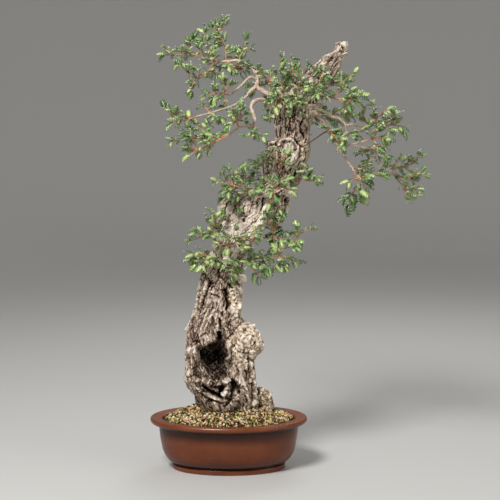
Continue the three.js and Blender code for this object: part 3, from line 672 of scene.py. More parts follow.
def size_of(name, description, millimetres):
    return FloatProperty(name=name, description=description, default=millimetres * MM, min=0, unit="LENGTH")


def amount_of(name, description, amount, least=0):
    return FloatProperty(name=name, description=description, default=amount, min=least)


class BonsaiPot(bpy.types.PropertyGroup):
    """Sizes and colour of the oval pot"""

    rim_length: size_of("Rim length", "Outside length of the rim", 314)
    rim_width: size_of("Rim width", "Outside width of the rim", 223)
    rim_height: size_of("Height", "Height of the rim above the table", 103.5)
    foot_length: size_of("Foot length", "Outside length of the foot", 224)
    clay: colour_of("Clay", "Colour of the fired clay", "#763b1c")


class BONSAI_OT_pot(bpy.types.Operator):
    """Spin, round and pierce the oval pot, and lay its two drain screens"""

    bl_idname = "bonsai.pot"
    bl_label = "Pot"

    def execute(self, context):
        pot = context.scene.bonsai_pot
        profile = [*pot_outside(pot), *reversed(pot_inside(pot)), (0, FLOOR_TOP)]
        bowl = make_oval(spun(profile, POT_ROUNDING, POT_STEPS), pot)
        drills = bmesh.new()
        for side in (-1, 1):
            for radius, x, y in (
                (DRAIN_HOLE_RADIUS, DRAIN_HOLE_SPREAD, 0),
                (WIRE_HOLE_RADIUS, WIRE_HOLE_X, WIRE_HOLE_Y),
            ):
                bmesh.ops.create_cone(
                    drills,
                    cap_ends=True,
                    segments=32,
                    radius1=radius,
                    radius2=radius,
                    depth=FLOOR_TOP * 2,
                    matrix=Matrix.Translation((side * x, y, FLOOR_TOP)),
                )
        bm = bmesh.new()
        bm.from_mesh(cut_out(bowl, drills))
        pot_piece = piece("oval_pot", to_frame(bm), [stoneware(pot)], ["pot"])
        pot_piece.data.set_sharp_from_angle(angle=math.radians(40))
        plastic = screen_plastic()
        for name in ("drain_screen_left", "drain_screen_right"):
            low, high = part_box(name)
            size = high - low
            scale = Matrix.Diagonal((size.x * SCREEN_FILL, size.y * SCREEN_FILL, 1, 1))
            place = Matrix.Translation((low + high) / 2) @ scale
            screen = bmesh.new()
            bmesh.ops.create_grid(
                screen, x_segments=SCREEN_HOLES, y_segments=SCREEN_HOLES, size=0.5, matrix=place
            )
            bmesh.ops.wireframe(
                screen,
                faces=screen.faces[:],
                thickness=size.z * SCREEN_THREAD,
                use_replace=True,
                use_boundary=True,
            )
            piece(f"{name}_mesh", screen, [plastic], [name], smooth=False)
        return {"FINISHED"}


# Soil


def mound_height(x, y, pot):
    """Height of the soil at a place in the pot, in millimetres."""
    near, far = 0, pot_inside(pot)[-1][0]
    edge = far
    for _ in range(14):
        middle = (near + far) / 2
        half_width = max(oval_half_width(middle, pot), 1e-6)
        if (x / max(middle, 1e-6)) ** 2 + (y / half_width) ** 2 > 1:
            near = middle
        else:
            far = middle
    share = min(near / edge, 1)
    rise = SOIL_RISE * math.sin(min((1 - share) / 0.6, 1) * math.pi / 2)
    coarse = math.sin(x * 0.071 + y * 0.143) * math.sin(y * 0.083 - x * 0.129)
    return SOIL_EDGE + rise + coarse * 1.6, share


class BonsaiSoil(bpy.types.PropertyGroup):
    """Sizes of the grit on the soil"""

    small_stone: size_of("Small stone", "Across the smallest stones", 3.4)
    large_stone: size_of("Large stone", "Across the largest stones", 7.5)
    spacing: size_of("Spacing", "Distance between the stones of the top layer", 4.1)


class BONSAI_OT_soil(bpy.types.Operator):
    """Heap the soil in the pot and strew it with grit"""

    bl_idname = "bonsai.soil"
    bl_label = "Soil"

    def execute(self, context):
        pot, soil = context.scene.bonsai_pot, context.scene.bonsai_soil
        inside = pot_inside(pot)
        edge = inside[-1][0]
        shares = [0.99, 0.95, 0.9, 0.84, 0.77, 0.7, 0.63, 0.56, 0.48, 0.4, 0.3, 0.2, 0.1]
        profile = [
            (0, FLOOR_TOP),
            *inside,
            (edge, SOIL_EDGE - 3),
            *[(edge * share, SOIL_EDGE) for share in shares],
            (0, SOIL_EDGE),
        ]
        heap = make_oval(spun(profile, {}, SOIL_STEPS), pot)
        for spot in heap.verts:
            if spot.co.z > SOIL_EDGE - 1:
                height, _ = mound_height(spot.co.x, spot.co.y, pot)
                spot.co.z = height - SOIL_UNDER_STONES + noise.noise(spot.co * 0.2) * 0.8
        for spot in heap.verts:
            spot.co.x *= SOIL_SLACK
            spot.co.y *= SOIL_SLACK
        piece("soil_heap", to_frame(heap), [damp_soil()], ["soil"])

        wood = BVHTree.FromObject(bpy.data.objects["old_trunk"], context.evaluated_depsgraph_get())
        chance = random.Random(41)
        strewn = bmesh.new()
        step = soil.spacing / MM
        rows = int(edge / step) + 2
        for row in range(-rows, rows + 1):
            strip = bmesh.new()
            tone = strip.verts.layers.float.new("tone")
            for place in range(-rows, rows + 1):
                for layer in (0, 1):
                    x = (place + 0.5 * (row % 2) + 0.5 * layer + chance.uniform(-0.45, 0.45)) * step
                    y = (row + 0.4 * layer + chance.uniform(-0.45, 0.45)) * step * 0.87
                    larger = chance.random() ** 2.2
                    across = soil.small_stone + (soil.large_stone - soil.small_stone) * larger
                    patch = noise.noise(Vector((x / 24, y / 24, 3))) * 0.3
                    kind = chance.random()
                    kind = min(max(kind + patch, 0), 0.85) if kind < 0.86 else kind
                    turn = Euler([chance.uniform(0, 6.3) for _ in range(3)])
                    flat = [chance.uniform(0.7, 1.25), chance.uniform(0.7, 1.1), chance.uniform(0.55, 0.9)]
                    lift = chance.uniform(-0.35, 0.25)
                    bulges = [chance.uniform(-STONE_KNOCK, STONE_KNOCK) for _ in range(STONE_CORNERS)]
                    if layer and chance.random() < STONE_GAPS:
                        continue
                    height, share = mound_height(x, y, pot)
                    if share > STONE_COVER - across / MM / edge / 2:
                        continue
                    spot = Vector((x, y, height + lift * across / MM)) * MM + POT_CENTRE
                    touch, normal, _, _ = wood.find_nearest(spot)
                    if (spot - touch).dot(normal) < -0.001:
                        continue
                    size = Matrix.Diagonal((*[f * across for f in flat], 1))
                    stone = bmesh.ops.create_icosphere(
                        strip,
                        subdivisions=1,
                        radius=0.5,
                        matrix=Matrix.Translation(spot) @ turn.to_matrix().to_4x4() @ size,
                    )["verts"]
                    for corner, bulge in zip(stone, bulges):
                        corner.co += (corner.co - spot) * bulge
                        corner[tone] = kind
            strewn.from_mesh(as_mesh(strip, "strip"))
        piece("grit_stones", strewn, [grit()], ["soil"], smooth=False)
        return {"FINISHED"}


# Trunk

# Sides and rings of the shells that grow together into the trunk
TRUNK_SIDES = 64
RINGS_PER_LEVEL = 3
MASS_SIDES = 24
CUT_SIDES = 16
MASS_SPANS = 4

# Heights at which the trunk's surface is parted into pieces
TRUNK_CUTS = (318, 560)
TRUNK_PIECES = ("old_trunk", "leaning_trunk", "upper_trunk")

# Sets the strands of bare wood apart from the ridges of the live bark
WOOD = Vector((31, 17, 5))

# Height, left side and right side of the trunk at each level, as seen from the front, and the
# depths of its front and back
TRUNK_LEVELS = [
    (44, -40, 30, -30, 34),
    (84, -54, 42, -36, 44),
    (114, -57, 44, -39, 48),
    (134, -56, 38, -43, 50),
    (152, -67, 32, -49, 52),
    (174, -86, 27, -54, 53),
    (206, -86, 26, -55, 54),
    (266, -84, 24, -50, 54),
    (286, -82, 20, -48, 50),
    (304, -72, 20, -44, 48),
    (330, -66, 23, -44, 44),
    (394, -52, 27, -42, 34),
    (414, -38, 29, -40, 32),
    (454, -30, 54, -38, 36),
    (474, -28, 70, -38, 38),
    (490, -25, 94, -37, 40),
    (506, -22, 113, -36, 42),
    (524, -16, 122, -34, 44),
    (540, 10, 125, -32, 44),
    (556, 56, 134, -30, 44),
    (574, 69, 145, -31, 42),
    (598, 68, 151, -34, 38),
    (624, 68, 162, -38, 34),
    (642, 78, 162, -38, 30),
    (660, 95, 160, -38, 27),
    (684, 90, 164, -38, 26),
    (730, 93, 178, -36, 23),
    (750, 110, 192, -34, 19),
    (768, 131, 208, -33, 13),
    (786, 153, 218, -33, 7),
    (819, 188, 230, -33, -3),
    (827, 205, 233, -33, -6),
    (838, 211, 238, -34, -9),
    (847, 216, 237, -34, -12),
]

# Thick pieces grown together with the trunk: points as seen (x, z, y) and a radius for each
TRUNK_MASSES = [
    # right limb of the base, up to the burl and into the trunk
    (
        [(32, 84, -4), (30, 134, -10), (27, 178, -16), (25, 212, -18), (32, 246, -20), (22, 280, -14),
         (6, 304, -8)],
        [28, 28, 27, 26, 27, 17, 9],
    ),
    # yellow crusted strip of bark up the right side
    ([(12, 278, -26), (12, 312, -28), (14, 350, -26), (17, 386, -22), (16, 412, -18)], [8, 13, 13, 10, 5]),
    # ridged lobes of the base: left front, left side and two at the back
    (
        [(-42, 98, -10), (-42, 136, -20), (-64, 172, -34), (-66, 216, -38), (-60, 260, -30),
         (-52, 300, -20)],
        [14, 16, 19, 17, 14, 9],
    ),
    ([(-44, 104, 12), (-45, 138, 10), (-71, 170, 8), (-70, 206, 6), (-58, 250, 6)], [12, 14, 16, 14, 8]),
    ([(10, 96, 34), (2, 150, 44), (-8, 220, 46), (-16, 300, 38), (-14, 360, 30)], [22, 20, 17, 14, 8]),
    ([(-44, 96, 32), (-52, 150, 38), (-54, 210, 38), (-44, 270, 32)], [16, 17, 14, 8]),
    # rounded lip under the slit at the front
    (
        [(-60, 160, -36), (-46, 134, -38), (-24, 124, -40), (0, 124, -40), (14, 142, -42)],
        [10, 11, 12, 12, 9],
    ),
    # root stub on the right, sloping into the soil
    ([(36, 130, 0), (60, 144, -6), (73, 140, -10), (80, 120, -14), (82, 100, -16)], [18, 17, 13, 11, 8]),
    # buried roots
    ([(-30, 96, 0), (-72, 80, 8), (-100, 62, 14)], [18, 10, 5]),
    ([(20, 92, 0), (68, 76, 12), (102, 58, 16)], [18, 10, 5]),
    ([(-10, 86, -14), (-22, 64, -40), (-36, 48, -56)], [16, 10, 5]),
    ([(0, 86, 20), (20, 62, 44), (36, 46, 56)], [16, 10, 5]),
    # broken knob on the left of the upper trunk
    ([(110, 636, -8), (88, 643, -14), (75, 646, -16)], [13, 9.5, 8]),
    # brown stub and nub at the top
    ([(162, 762, -10), (157, 786, -12), (156, 801, -12)], [7, 5.5, 4.5]),
    ([(226, 822, -20), (236, 828, -24), (241, 831, -25)], [6, 4.5, 3.5]),
    # long ridges of live bark down the leaning middle and the upper right side
    ([(20, 420, -28), (44, 462, -33), (78, 504, -36), (100, 548, -32), (118, 590, -28)], [9, 10, 10, 9, 6]),
    ([(146, 612, -20), (148, 650, -22), (152, 690, -20), (160, 724, -16)], [9, 12, 12, 8]),
]

# Burl, shoulder knob and swellings: centre as seen, half sizes (x, z, y), roughness and seed
TRUNK_LUMPS = [
    ((38, 247, -28), (31.5, 32, 28), 0.12, 1),
    ((-5, 515, -14), (17, 23, 24), 0.1, 2),
    ((-10, 316, 36), (22, 26, 16), 0.12, 4),
    ((120, 610, 26), (20, 26, 16), 0.12, 5),
]

# The mouth of the hollow, its upper left corner and its upper end, and the hole at the top
HOLLOW_LUMPS = [
    ((-29, 208, -58), (29, 37, 50), 0.12, 7),
    ((-42, 224, -46), (20, 25, 28), 0.12, 8),
    ((-17, 242, -54), (10, 26, 24), 0.12, 3),
    ((226, 850, -23), (6, 10, 6), 0.05, 9),
]

# The three short slits under the mouth, two long cracks, the knot hole and the crack beside the
# scar: points as seen and a radius for each
HOLLOW_CUTS = [
    ([(-62, 178, -58), (-48, 160, -54), (-34, 147, -50), (-26, 142, -47)], [4, 8, 6, 3]),
    ([(-12, 160, -54), (-15, 150, -50), (-22, 138, -48)], [5, 7, 4]),
    ([(12, 166, -54), (6, 156, -52), (0, 146, -48)], [5, 4, 2]),
    ([(-4, 286, -52), (-2, 318, -50), (0, 352, -47)], [2.5, 4.5, 2]),
    ([(-18, 538, -40), (-12, 512, -44), (-8, 492, -46)], [2, 3.5, 2]),
    ([(70, 648, -16), (80, 645, -16), (86, 643, -15)], [5, 5, 2]),
    ([(150, 704, -44), (145, 672, -46), (138, 648, -44)], [2, 5, 2]),
]

# Where the bark changes: a coat's kind, or worn where it is only rubbed pale, and its strength,
# centre as seen and half sizes (x, z, y)
BARK_PATCHES = [
    ("cork", 1, (42, 250, -28), (38, 44, 60)),
    ("cork", 0.8, (14, 222, -40), (22, 46, 34)),
    ("cork", 0.9, (14, 346, -26), (17, 64, 30)),
    ("cork", 0.7, (152, 668, -10), (18, 70, 40)),
    ("cork", 0.7, (66, 140, -10), (30, 30, 34)),
    ("cork", 1, (125, 549, -30), (13, 12, 26)),
    ("cork", 0.9, (88, 583, -36), (11, 17, 20)),
    ("bare", 1, (126, 624, -40), (17, 28, 24)),
    ("bare", 0.9, (73, 500, -40), (10, 40, 30)),
    ("bare", 0.7, (216, 812, -20), (58, 52, 60)),
    ("bare", 0.8, (-40, 300, -40), (32, 60, 40)),
    ("bare", 0.7, (-68, 196, -30), (26, 54, 50)),
    ("bare", 0.7, (-30, 120, -40), (46, 36, 40)),
    ("bare", 0.6, (32, 152, -40), (30, 56, 44)),
    ("bare", 0.6, (40, 480, -40), (80, 60, 50)),
    ("bare", 1, (-5, 171, -52), (8, 7, 16)),
    ("bare", 1, (52, 129, -24), (8, 8, 20)),
    ("bare", 1, (196, 784, -34), (10, 5, 16)),
    ("worn", 1, (196, 784, -34), (10, 3.5, 16)),
    ("worn", 1, (233, 843, -24), (7, 9, 14)),
    ("worn", 0.9, (-5, 172, -54), (6, 6, 14)),
    ("worn", 0.8, (52, 129, -24), (7, 7, 18)),
    ("char", 0.75, (150, 790, -12), (6, 12, 14)),
    # painted shadow: the band between the top stub and the foliage, darkened with the char coat
    ("char", 0.8, (186, 797, -32), (22, 7, 12)),
    ("bare", 0.8, (228, 843, -20), (14, 8, 20)),
    ("bare", 0.7, (-20, 420, 44), (24, 80, 20)),
    ("bare", 0.6, (120, 660, 30), (22, 60, 16)),
    ("cork", 0.8, (0, 190, 60), (36, 56, 22)),
    ("cork", 0.7, (90, 540, 48), (30, 34, 18)),
    # the hollow's inside and the slits under its mouth: burnt wood, darkened further as painted shade
    ("char", 1, (-26, 216, -34), (28, 42, 40)),
    ("char", 0.7, (-18, 184, -32), (17, 13, 30)),
    ("char", 0.9, (-28, 150, -34), (34, 10, 14)),
    ("moss", 0.8, (70, 144, -14), (22, 30, 26)),
    ("moss", 0.6, (60, 118, -20), (36, 12, 30)),
    ("moss", 0.5, (-30, 112, -30), (40, 10, 30)),
    ("moss", 0.9, (-20, 124, 54), (50, 30, 26)),
]

# Ridges and furrows down the trunk's front, as strokes: how far each stands out (or sinks in,
# below zero), its half width, and its points as seen (x, z). The furrows are also darkened with
# painted shade.
BARK_STROKES = [
    (-7, 2.4, [(-75, 296), (-74, 282), (-72, 268)]),
    (-6, 2.6, [(-60, 284), (-63, 276), (-68, 268), (-71, 262)]),
    (-6, 2.4, [(-79, 218), (-78, 206), (-76, 194)]),
    (-5, 2.2, [(-64, 232), (-60, 237), (-52, 238), (-46, 234)]),
    (-9, 5.5, [(-54, 230), (-51, 220)]),
    (-11, 4.5, [(-20, 268), (-18, 258)]),
    (-10, 3, [(-18, 296), (-17, 286), (-16, 276)]),
    (-9, 3, [(-14, 308), (-13, 302)]),
    (-11, 5, [(-50, 162), (-42, 154), (-32, 148), (-24, 145)]),
    (-12, 6, [(-14, 160), (-16, 150), (-18, 142)]),
    (-8, 6, [(-20, 140), (-12, 136), (-6, 138)]),
    (-8, 2.6, [(-66, 152), (-56, 148), (-46, 140), (-34, 135), (-22, 131), (-12, 128)]),
    (-12, 6, [(6, 172), (11, 164), (14, 160)]),
    (-9, 4, [(10, 158), (7, 148), (4, 140), (0, 132), (-4, 126), (-8, 120)]),
    (-7, 2.4, [(39, 228), (39, 218), (38, 202), (39, 190), (42, 178)]),
    (-7, 2.6, [(45, 178), (47, 162), (48, 146), (50, 136)]),
    (-6, 2, [(32, 194), (38, 182), (42, 172)]),
    (-9, 5, [(56, 160), (58, 148)]),
    (-5, 2, [(-76, 194), (-68, 198), (-60, 200)]),
    (-5, 2, [(-78, 180), (-68, 184), (-60, 180), (-54, 176)]),
    (-6, 2.4, [(12, 258), (14, 250), (10, 242)]),
    (-6, 2.4, [(2, 276), (4, 266), (0, 258)]),
    (-5, 2.2, [(36, 280), (28, 274), (28, 266)]),
    (-6, 3, [(34, 218), (42, 212), (50, 214)]),
    (-6, 2.4, [(24, 166), (20, 158), (20, 146)]),
    (-6, 2.4, [(34, 142), (36, 128)]),
    (-5, 2.2, [(16, 202), (18, 190), (14, 178)]),
    (-5, 2, [(4, 234), (6, 218), (2, 206)]),
    (-5, 2, [(26, 248), (32, 238), (28, 228)]),
    (-5, 2, [(50, 262), (54, 252), (48, 242)]),
    (-5, 2, [(-46, 126), (-42, 134), (-32, 130)]),
    (-5, 2, [(-72, 250), (-66, 254), (-60, 250)]),
    (-5, 2, [(-56, 262), (-48, 268), (-42, 264), (-38, 272)]),
    (6, 4, [(-70, 228), (-69, 238), (-62, 245), (-50, 247), (-42, 242)]),
    (7, 4.5, [(-66, 172), (-56, 175), (-44, 170), (-32, 165), (-20, 166), (-12, 170)]),
    (12, 5, [(-10, 170), (-5, 174), (-2, 174)]),
    (6, 4, [(-66, 162), (-58, 152), (-46, 145), (-34, 140), (-22, 136)]),
    (6, 4.5, [(0, 252), (-1, 234), (1, 218), (-2, 202)]),
    (7, 5, [(-2, 162), (-6, 152), (-10, 142), (-8, 134)]),
    (6, 4, [(10, 186), (18, 174), (26, 164)]),
    (6, 4.5, [(22, 202), (24, 186), (28, 172), (34, 158), (38, 142), (40, 128)]),
    (6, 4.5, [(14, 152), (18, 140), (24, 130)]),
    (5, 3.4, [(35, 218), (35, 202), (39, 186), (43, 172)]),
    (5, 3.6, [(44, 212), (44, 198), (47, 182), (50, 166), (52, 150), (54, 138)]),
    (6, 3.6, [(-82, 278), (-80, 270), (-78, 262)]),
    (6, 3, [(-84, 219), (-81, 212), (-79, 200)]),
    (5, 8, [(-82, 186), (-83, 174)]),
    (4, 6, [(-78, 236), (-82, 224)]),
    (6, 3.4, [(76, 170), (82, 162), (83, 150), (82, 138)]),
    (5, 3, [(28, 285), (40, 285), (50, 279)]),
    (6, 5, [(48, 124), (54, 130)]),
    (4, 6, [(28, 254), (36, 248)]),
    (4, 6, [(14, 230), (18, 220)]),
    (4, 5, [(50, 232), (44, 220)]),
    (4, 5, [(56, 258), (60, 246)]),
    (
        -6,
        2.2,
        [(-46, 394), (-48, 378), (-50, 366), (-53, 356), (-56, 348), (-59, 338), (-60, 326), (-60, 312)],
    ),
    (-7, 2.6, [(-38, 372), (-40, 360), (-44, 352), (-48, 342), (-50, 332), (-53, 322), (-55, 317)]),
    (-5, 1.8, [(-43, 390), (-44, 380), (-45, 372)]),
    (5, 3.2, [(-44, 372), (-46, 358), (-51, 346), (-54, 334), (-56, 318)]),
    (4, 4, [(-50, 382), (-54, 366), (-58, 350), (-61, 334), (-64, 318), (-68, 302)]),
    (-4, 1.8, [(-36, 346), (-26, 342), (-16, 339)]),
    (4, 4, [(-35, 350), (-26, 347)]),
    (-4, 1.8, [(-40, 370), (-30, 368)]),
    (-4, 1.8, [(-45, 318), (-40, 324), (-34, 330), (-32, 336)]),
    (-4, 1.6, [(-40, 319), (-32, 318)]),
    (-4, 1.6, [(-26, 328), (-22, 322), (-26, 316)]),
    (-7, 2.6, [(-7, 352), (-4, 345), (-3, 338)]),
    (-13, 5.2, [(-2, 336), (-1, 326), (-3, 317)]),
    (-4, 1.8, [(-12, 336), (-10, 322), (-13, 310)]),
    (4, 3, [(-50, 309), (-54, 298)]),
    (-4, 1.8, [(-49, 306), (-56, 301), (-58, 298)]),
    (-6, 2.6, [(2, 368), (3, 358), (8, 359)]),
    (-6, 2.2, [(15, 336), (10, 333), (11, 328), (15, 327)]),
    (-8, 2.8, [(16, 373), (20, 366)]),
    (10, 6, [(24, 380), (28, 374)]),
    (6, 4.5, [(22, 358), (24, 352)]),
    (5, 4, [(22, 328), (20, 318)]),
    (-4, 2, [(5, 351), (10, 353), (14, 348), (10, 342)]),
    (-4, 1.8, [(-32, 362), (-36, 354)]),
    (-4, 1.6, [(-24, 366), (-20, 356), (-24, 350)]),
    (-4, 1.8, [(-44, 294), (-40, 284), (-46, 274)]),
    (-4, 1.8, [(-30, 298), (-26, 286), (-30, 272)]),
    (-9, 2.6, [(2, 536), (-3, 528), (-6, 520), (-8, 512)]),
    (-7, 2.4, [(-10, 508), (-11, 504)]),
    (-9, 3.4, [(30, 496), (32, 491)]),
    (-5, 2, [(22, 502), (36, 501)]),
    (-5, 2, [(44, 486), (54, 492)]),
    (-5, 2, [(4, 490), (9, 492)]),
    (5, 4, [(4, 506), (9, 498), (6, 490)]),
    (-9, 2.6, [(68, 538), (68, 526), (65, 514)]),
    (6, 4.8, [(79, 536), (74, 520), (72, 508), (68, 494), (66, 478)]),
    (-11, 5, [(93, 534), (94, 522), (95, 510)]),
    (6, 3, [(100, 536), (100, 522), (103, 510)]),
    (-7, 2.2, [(84, 530), (84, 514)]),
    (-8, 2.4, [(114, 536), (112, 524), (110, 512)]),
    (-5, 1.8, [(104, 530), (104, 516)]),
    (5, 3, [(108, 534), (107, 520), (105, 506)]),
    (6, 3.6, [(118, 534), (118, 520), (114, 508)]),
    (8, 8, [(123, 550), (126, 544)]),
    (-9, 3.4, [(117, 556), (118, 552)]),
    (-6, 2.4, [(95, 545), (100, 539)]),
    (-6, 2.2, [(106, 540), (112, 542)]),
    (5, 7, [(88, 588), (88, 574)]),
    (-8, 2.8, [(76, 587), (79, 579)]),
    (-8, 2.8, [(101, 584), (97, 577), (90, 571)]),
    (-5, 2, [(14, 526), (10, 514), (14, 504)]),
    (-5, 2, [(34, 530), (28, 518), (30, 508)]),
    (-5, 2, [(50, 536), (46, 522), (50, 510)]),
    (-5, 2, [(58, 534), (56, 518)]),
    (-5, 2, [(90, 702), (93, 684), (97, 660)]),
    (-5, 2, [(101, 708), (102, 686), (104, 666)]),
    (-5, 2, [(112, 698), (113, 678), (114, 662)]),
    (-5, 2, [(122, 710), (122, 690), (124, 672)]),
    (-10, 3.2, [(154, 710), (150, 698), (146, 688), (144, 684)]),
    (-10, 2.8, [(143, 682), (144, 673), (149, 666), (150, 657)]),
    (-10, 3.4, [(132, 655), (136, 650), (139, 644)]),
    (-6, 2.4, [(143, 642), (144, 630), (142, 618)]),
    (6, 4.4, [(104, 651), (114, 655), (124, 655), (132, 650), (137, 640), (136, 628), (132, 616)]),
    (-9, 3.6, [(84, 645), (92, 647)]),
    (-7, 2.4, [(94, 650), (97, 632)]),
    (-8, 3.6, [(122, 629), (123, 614)]),
    (-5, 2, [(154, 686), (157, 666), (154, 648)]),
    (-5, 2, [(152, 638), (156, 624), (150, 610)]),
    (-4, 1.8, [(160, 698), (162, 678)]),
    (-8, 3, [(178, 780), (180, 775)]),
    (-8, 2.6, [(158, 767), (160, 758)]),
    (-7, 2.2, [(175, 804), (176, 801)]),
    (9, 3, [(190, 783), (202, 785)]),
    (-9, 2.8, [(204, 786), (206, 784)]),
    (4, 2.6, [(216, 846), (224, 847), (232, 841), (234, 834)]),
    (-7, 2.6, [(227, 840), (230, 835)]),
    (-5, 2.6, [(222, 830), (228, 829)]),
    (-4, 1.8, [(208, 822), (200, 810), (192, 800)]),
    (-4, 1.8, [(218, 820), (212, 808), (204, 796)]),
    (5, 3, [(188, 816), (196, 821), (206, 822)]),
    (-5, 2, [(161, 798), (161, 786)]),
]

# Spans between two points of a limb, and how many of the first are flared into the trunk
LIMB_SPANS = 5
LIMB_FLARE = 10

# Limbs of bare wood: points as seen, and the radius at the start and end
LIMBS = [
    (
        [(124, 736, 0), (108, 749, 4), (90, 746, 8), (78, 746, 10), (66, 753, 12), (56, 762, 14),
         (58, 778, 16), (52, 792, 20), (44, 800, 24), (32, 804, 28), (18, 813, 33), (-6, 811, 42),
         (-28, 814, 48), (-54, 819, 54)],
        6.4,
        2,
    ),
    ([(57, 774, 15), (42, 779, 8), (28, 766, 0), (12, 752, -7), (2, 742, -10)], 2.4, 1.6),
    (
        [(56, 762, 14), (42, 750, 6), (32, 738, -6), (16, 726, -22), (4, 721, -32), (-16, 714, -46),
         (-40, 707, -58), (-64, 701, -68)],
        3,
        1.6,
    ),
    (
        [(102, 708, -12), (86, 718, -24), (78, 728, -34), (68, 734, -44), (57, 734, -52), (49, 729, -58),
         (45, 720, -62), (48, 708, -66), (52, 696, -70), (51, 687, -74), (44, 682, -76), (30, 682, -78),
         (20, 678, -80), (4, 666, -84), (-6, 660, -86)],
        4.7,
        2,
    ),
    ([(64, 789, 18), (66, 797, 17)], 2.6, 2.2),
    (
        [(150, 720, -6), (166, 714, -14), (180, 700, -24), (190, 690, -32), (196, 678, -38),
         (208, 660, -46), (214, 648, -50), (222, 634, -54), (236, 614, -60), (252, 590, -66)],
        4.8,
        1.9,
    ),
    (
        [(128, 714, -20), (140, 720, -32), (162, 722, -42), (178, 716, -46), (194, 710, -48),
         (208, 700, -48), (218, 698, -46), (228, 690, -44), (235, 683, -42), (246, 685, -38),
         (266, 680, -30)],
        3.4,
        1.7,
    ),
    ([(214, 648, -50), (226, 642, -56), (242, 644, -64), (256, 648, -70), (272, 652, -76)], 2.3, 1.5),
    (
        [(207, 661, -45), (226, 656, -36), (236, 648, -30), (250, 642, -24), (272, 638, -14),
         (290, 636, -4), (296, 620, 4), (302, 606, 8), (322, 592, 16), (336, 586, 20)],
        2.6,
        1.6,
    ),
    ([(156, 720, -16), (174, 723, -26), (190, 728, -32), (195, 737, -36), (214, 746, -44)], 2.8, 1.7),
]


def trunk_sections():
    """The middle, half sizes and run along the trunk at each level."""
    sections = []
    for height, left, right, front, back in TRUNK_LEVELS:
        left_side, right_side = seen((left, height, 0)), seen((right, height, 0))
        middle = Vector(((left_side.x + right_side.x) / 2, (front + back) / 2, left_side.z))
        run = sections[-1][3] + (middle - sections[-1][0]).length if sections else 0
        sections.append((middle, (right_side.x - left_side.x) / 2, (back - front) / 2, run))
    return sections


SECTIONS = trunk_sections()


def section_at(height):
    """The trunk's middle, half sizes and run at any height."""
    height = min(max(height, SECTIONS[0][0].z), SECTIONS[-1][0].z - 0.01)
    low, high = next(pair for pair in zip(SECTIONS, SECTIONS[1:]) if height < pair[1][0].z)
    share = (height - low[0].z) / (high[0].z - low[0].z)
    return [a + (b - a) * share for a, b in zip(low, high)]


def bark_swell(turn, height):
    """Broad furrows and slabs round the trunk, as a share of its reach."""
    furrow = math.sin(turn * 8 + 1.6 * math.sin(height / 37) + height / 160)
    slab = math.sin(turn * 5 - height / 31) * math.sin(height / 19 + turn * 2)
    return 0.03 * furrow + 0.025 * slab


def trunk_shell():
    """The closed shells that grow together into the trunk."""
    bm = bmesh.new()
    last = len(SECTIONS) - 1
    steps = last * RINGS_PER_LEVEL
    rings = []
    for step in range(steps + 1):
        level = min(step // RINGS_PER_LEVEL, last - 1)
        part = step / RINGS_PER_LEVEL - level
        rings.append([a + (b - a) * part for a, b in zip(SECTIONS[level], SECTIONS[level + 1])])

    def place(corner, turn, step):
        middle, half_x, half_y, _ = rings[step]
        reach = 1 + bark_swell(turn, middle.z)
        corner.co = middle + Vector((math.sin(turn) * half_x, -math.cos(turn) * half_y, 0)) * reach

    column(bm, TRUNK_SIDES, steps, place)
    for points, radii in TRUNK_MASSES:
        grow(bm, points, radii, MASS_SIDES)
    for centre, halves, rough, seed in TRUNK_LUMPS:
        lump(bm, centre, halves, rough, seed)
    return bm


def hollow_shell():
    """The closed shells that are cut out of the trunk."""
    bm = bmesh.new()
    for centre, halves, rough, seed in HOLLOW_LUMPS:
        lump(bm, centre, halves, rough, seed)
    for points, radii in HOLLOW_CUTS:
        grow(bm, points, radii, CUT_SIDES)
    return bm


def ragged(mesh):
    """Gives the hollow's walls and mouth a torn edge."""
    for spot in mesh.vertices:
        spot.co += noise.noise_vector(spot.co / 13) * 4.5 + noise.noise_vector(spot.co / 5) * 1.6
    return mesh


PATCH_BALLS = [
    (kind, strength, seen(centre), (half_x, half_y, half_z))
    for kind, strength, centre, (half_x, half_z, half_y) in BARK_PATCHES
]


def patch_shares(spot):
    """How much of each coat there is at a spot in millimetres from the pot's middle, and its wear."""
    shares = dict.fromkeys((*COATS, "worn"), 0)
    uneven = noise.noise(spot / 14) * 0.25 + noise.noise(spot / 5) * 0.15
    for kind, strength, middle, (half_x, half_y, half_z) in PATCH_BALLS:
        x, y, z = spot - middle
        if abs(z) < half_z * 1.5 and abs(x) < half_x * 1.5:
            distance = math.sqrt((x / half_x) ** 2 + (y / half_y) ** 2 + (z / half_z) ** 2)
            shares[kind] = max(shares[kind], strength * fade(1.2, 0.8, distance + uneven))
    return shares


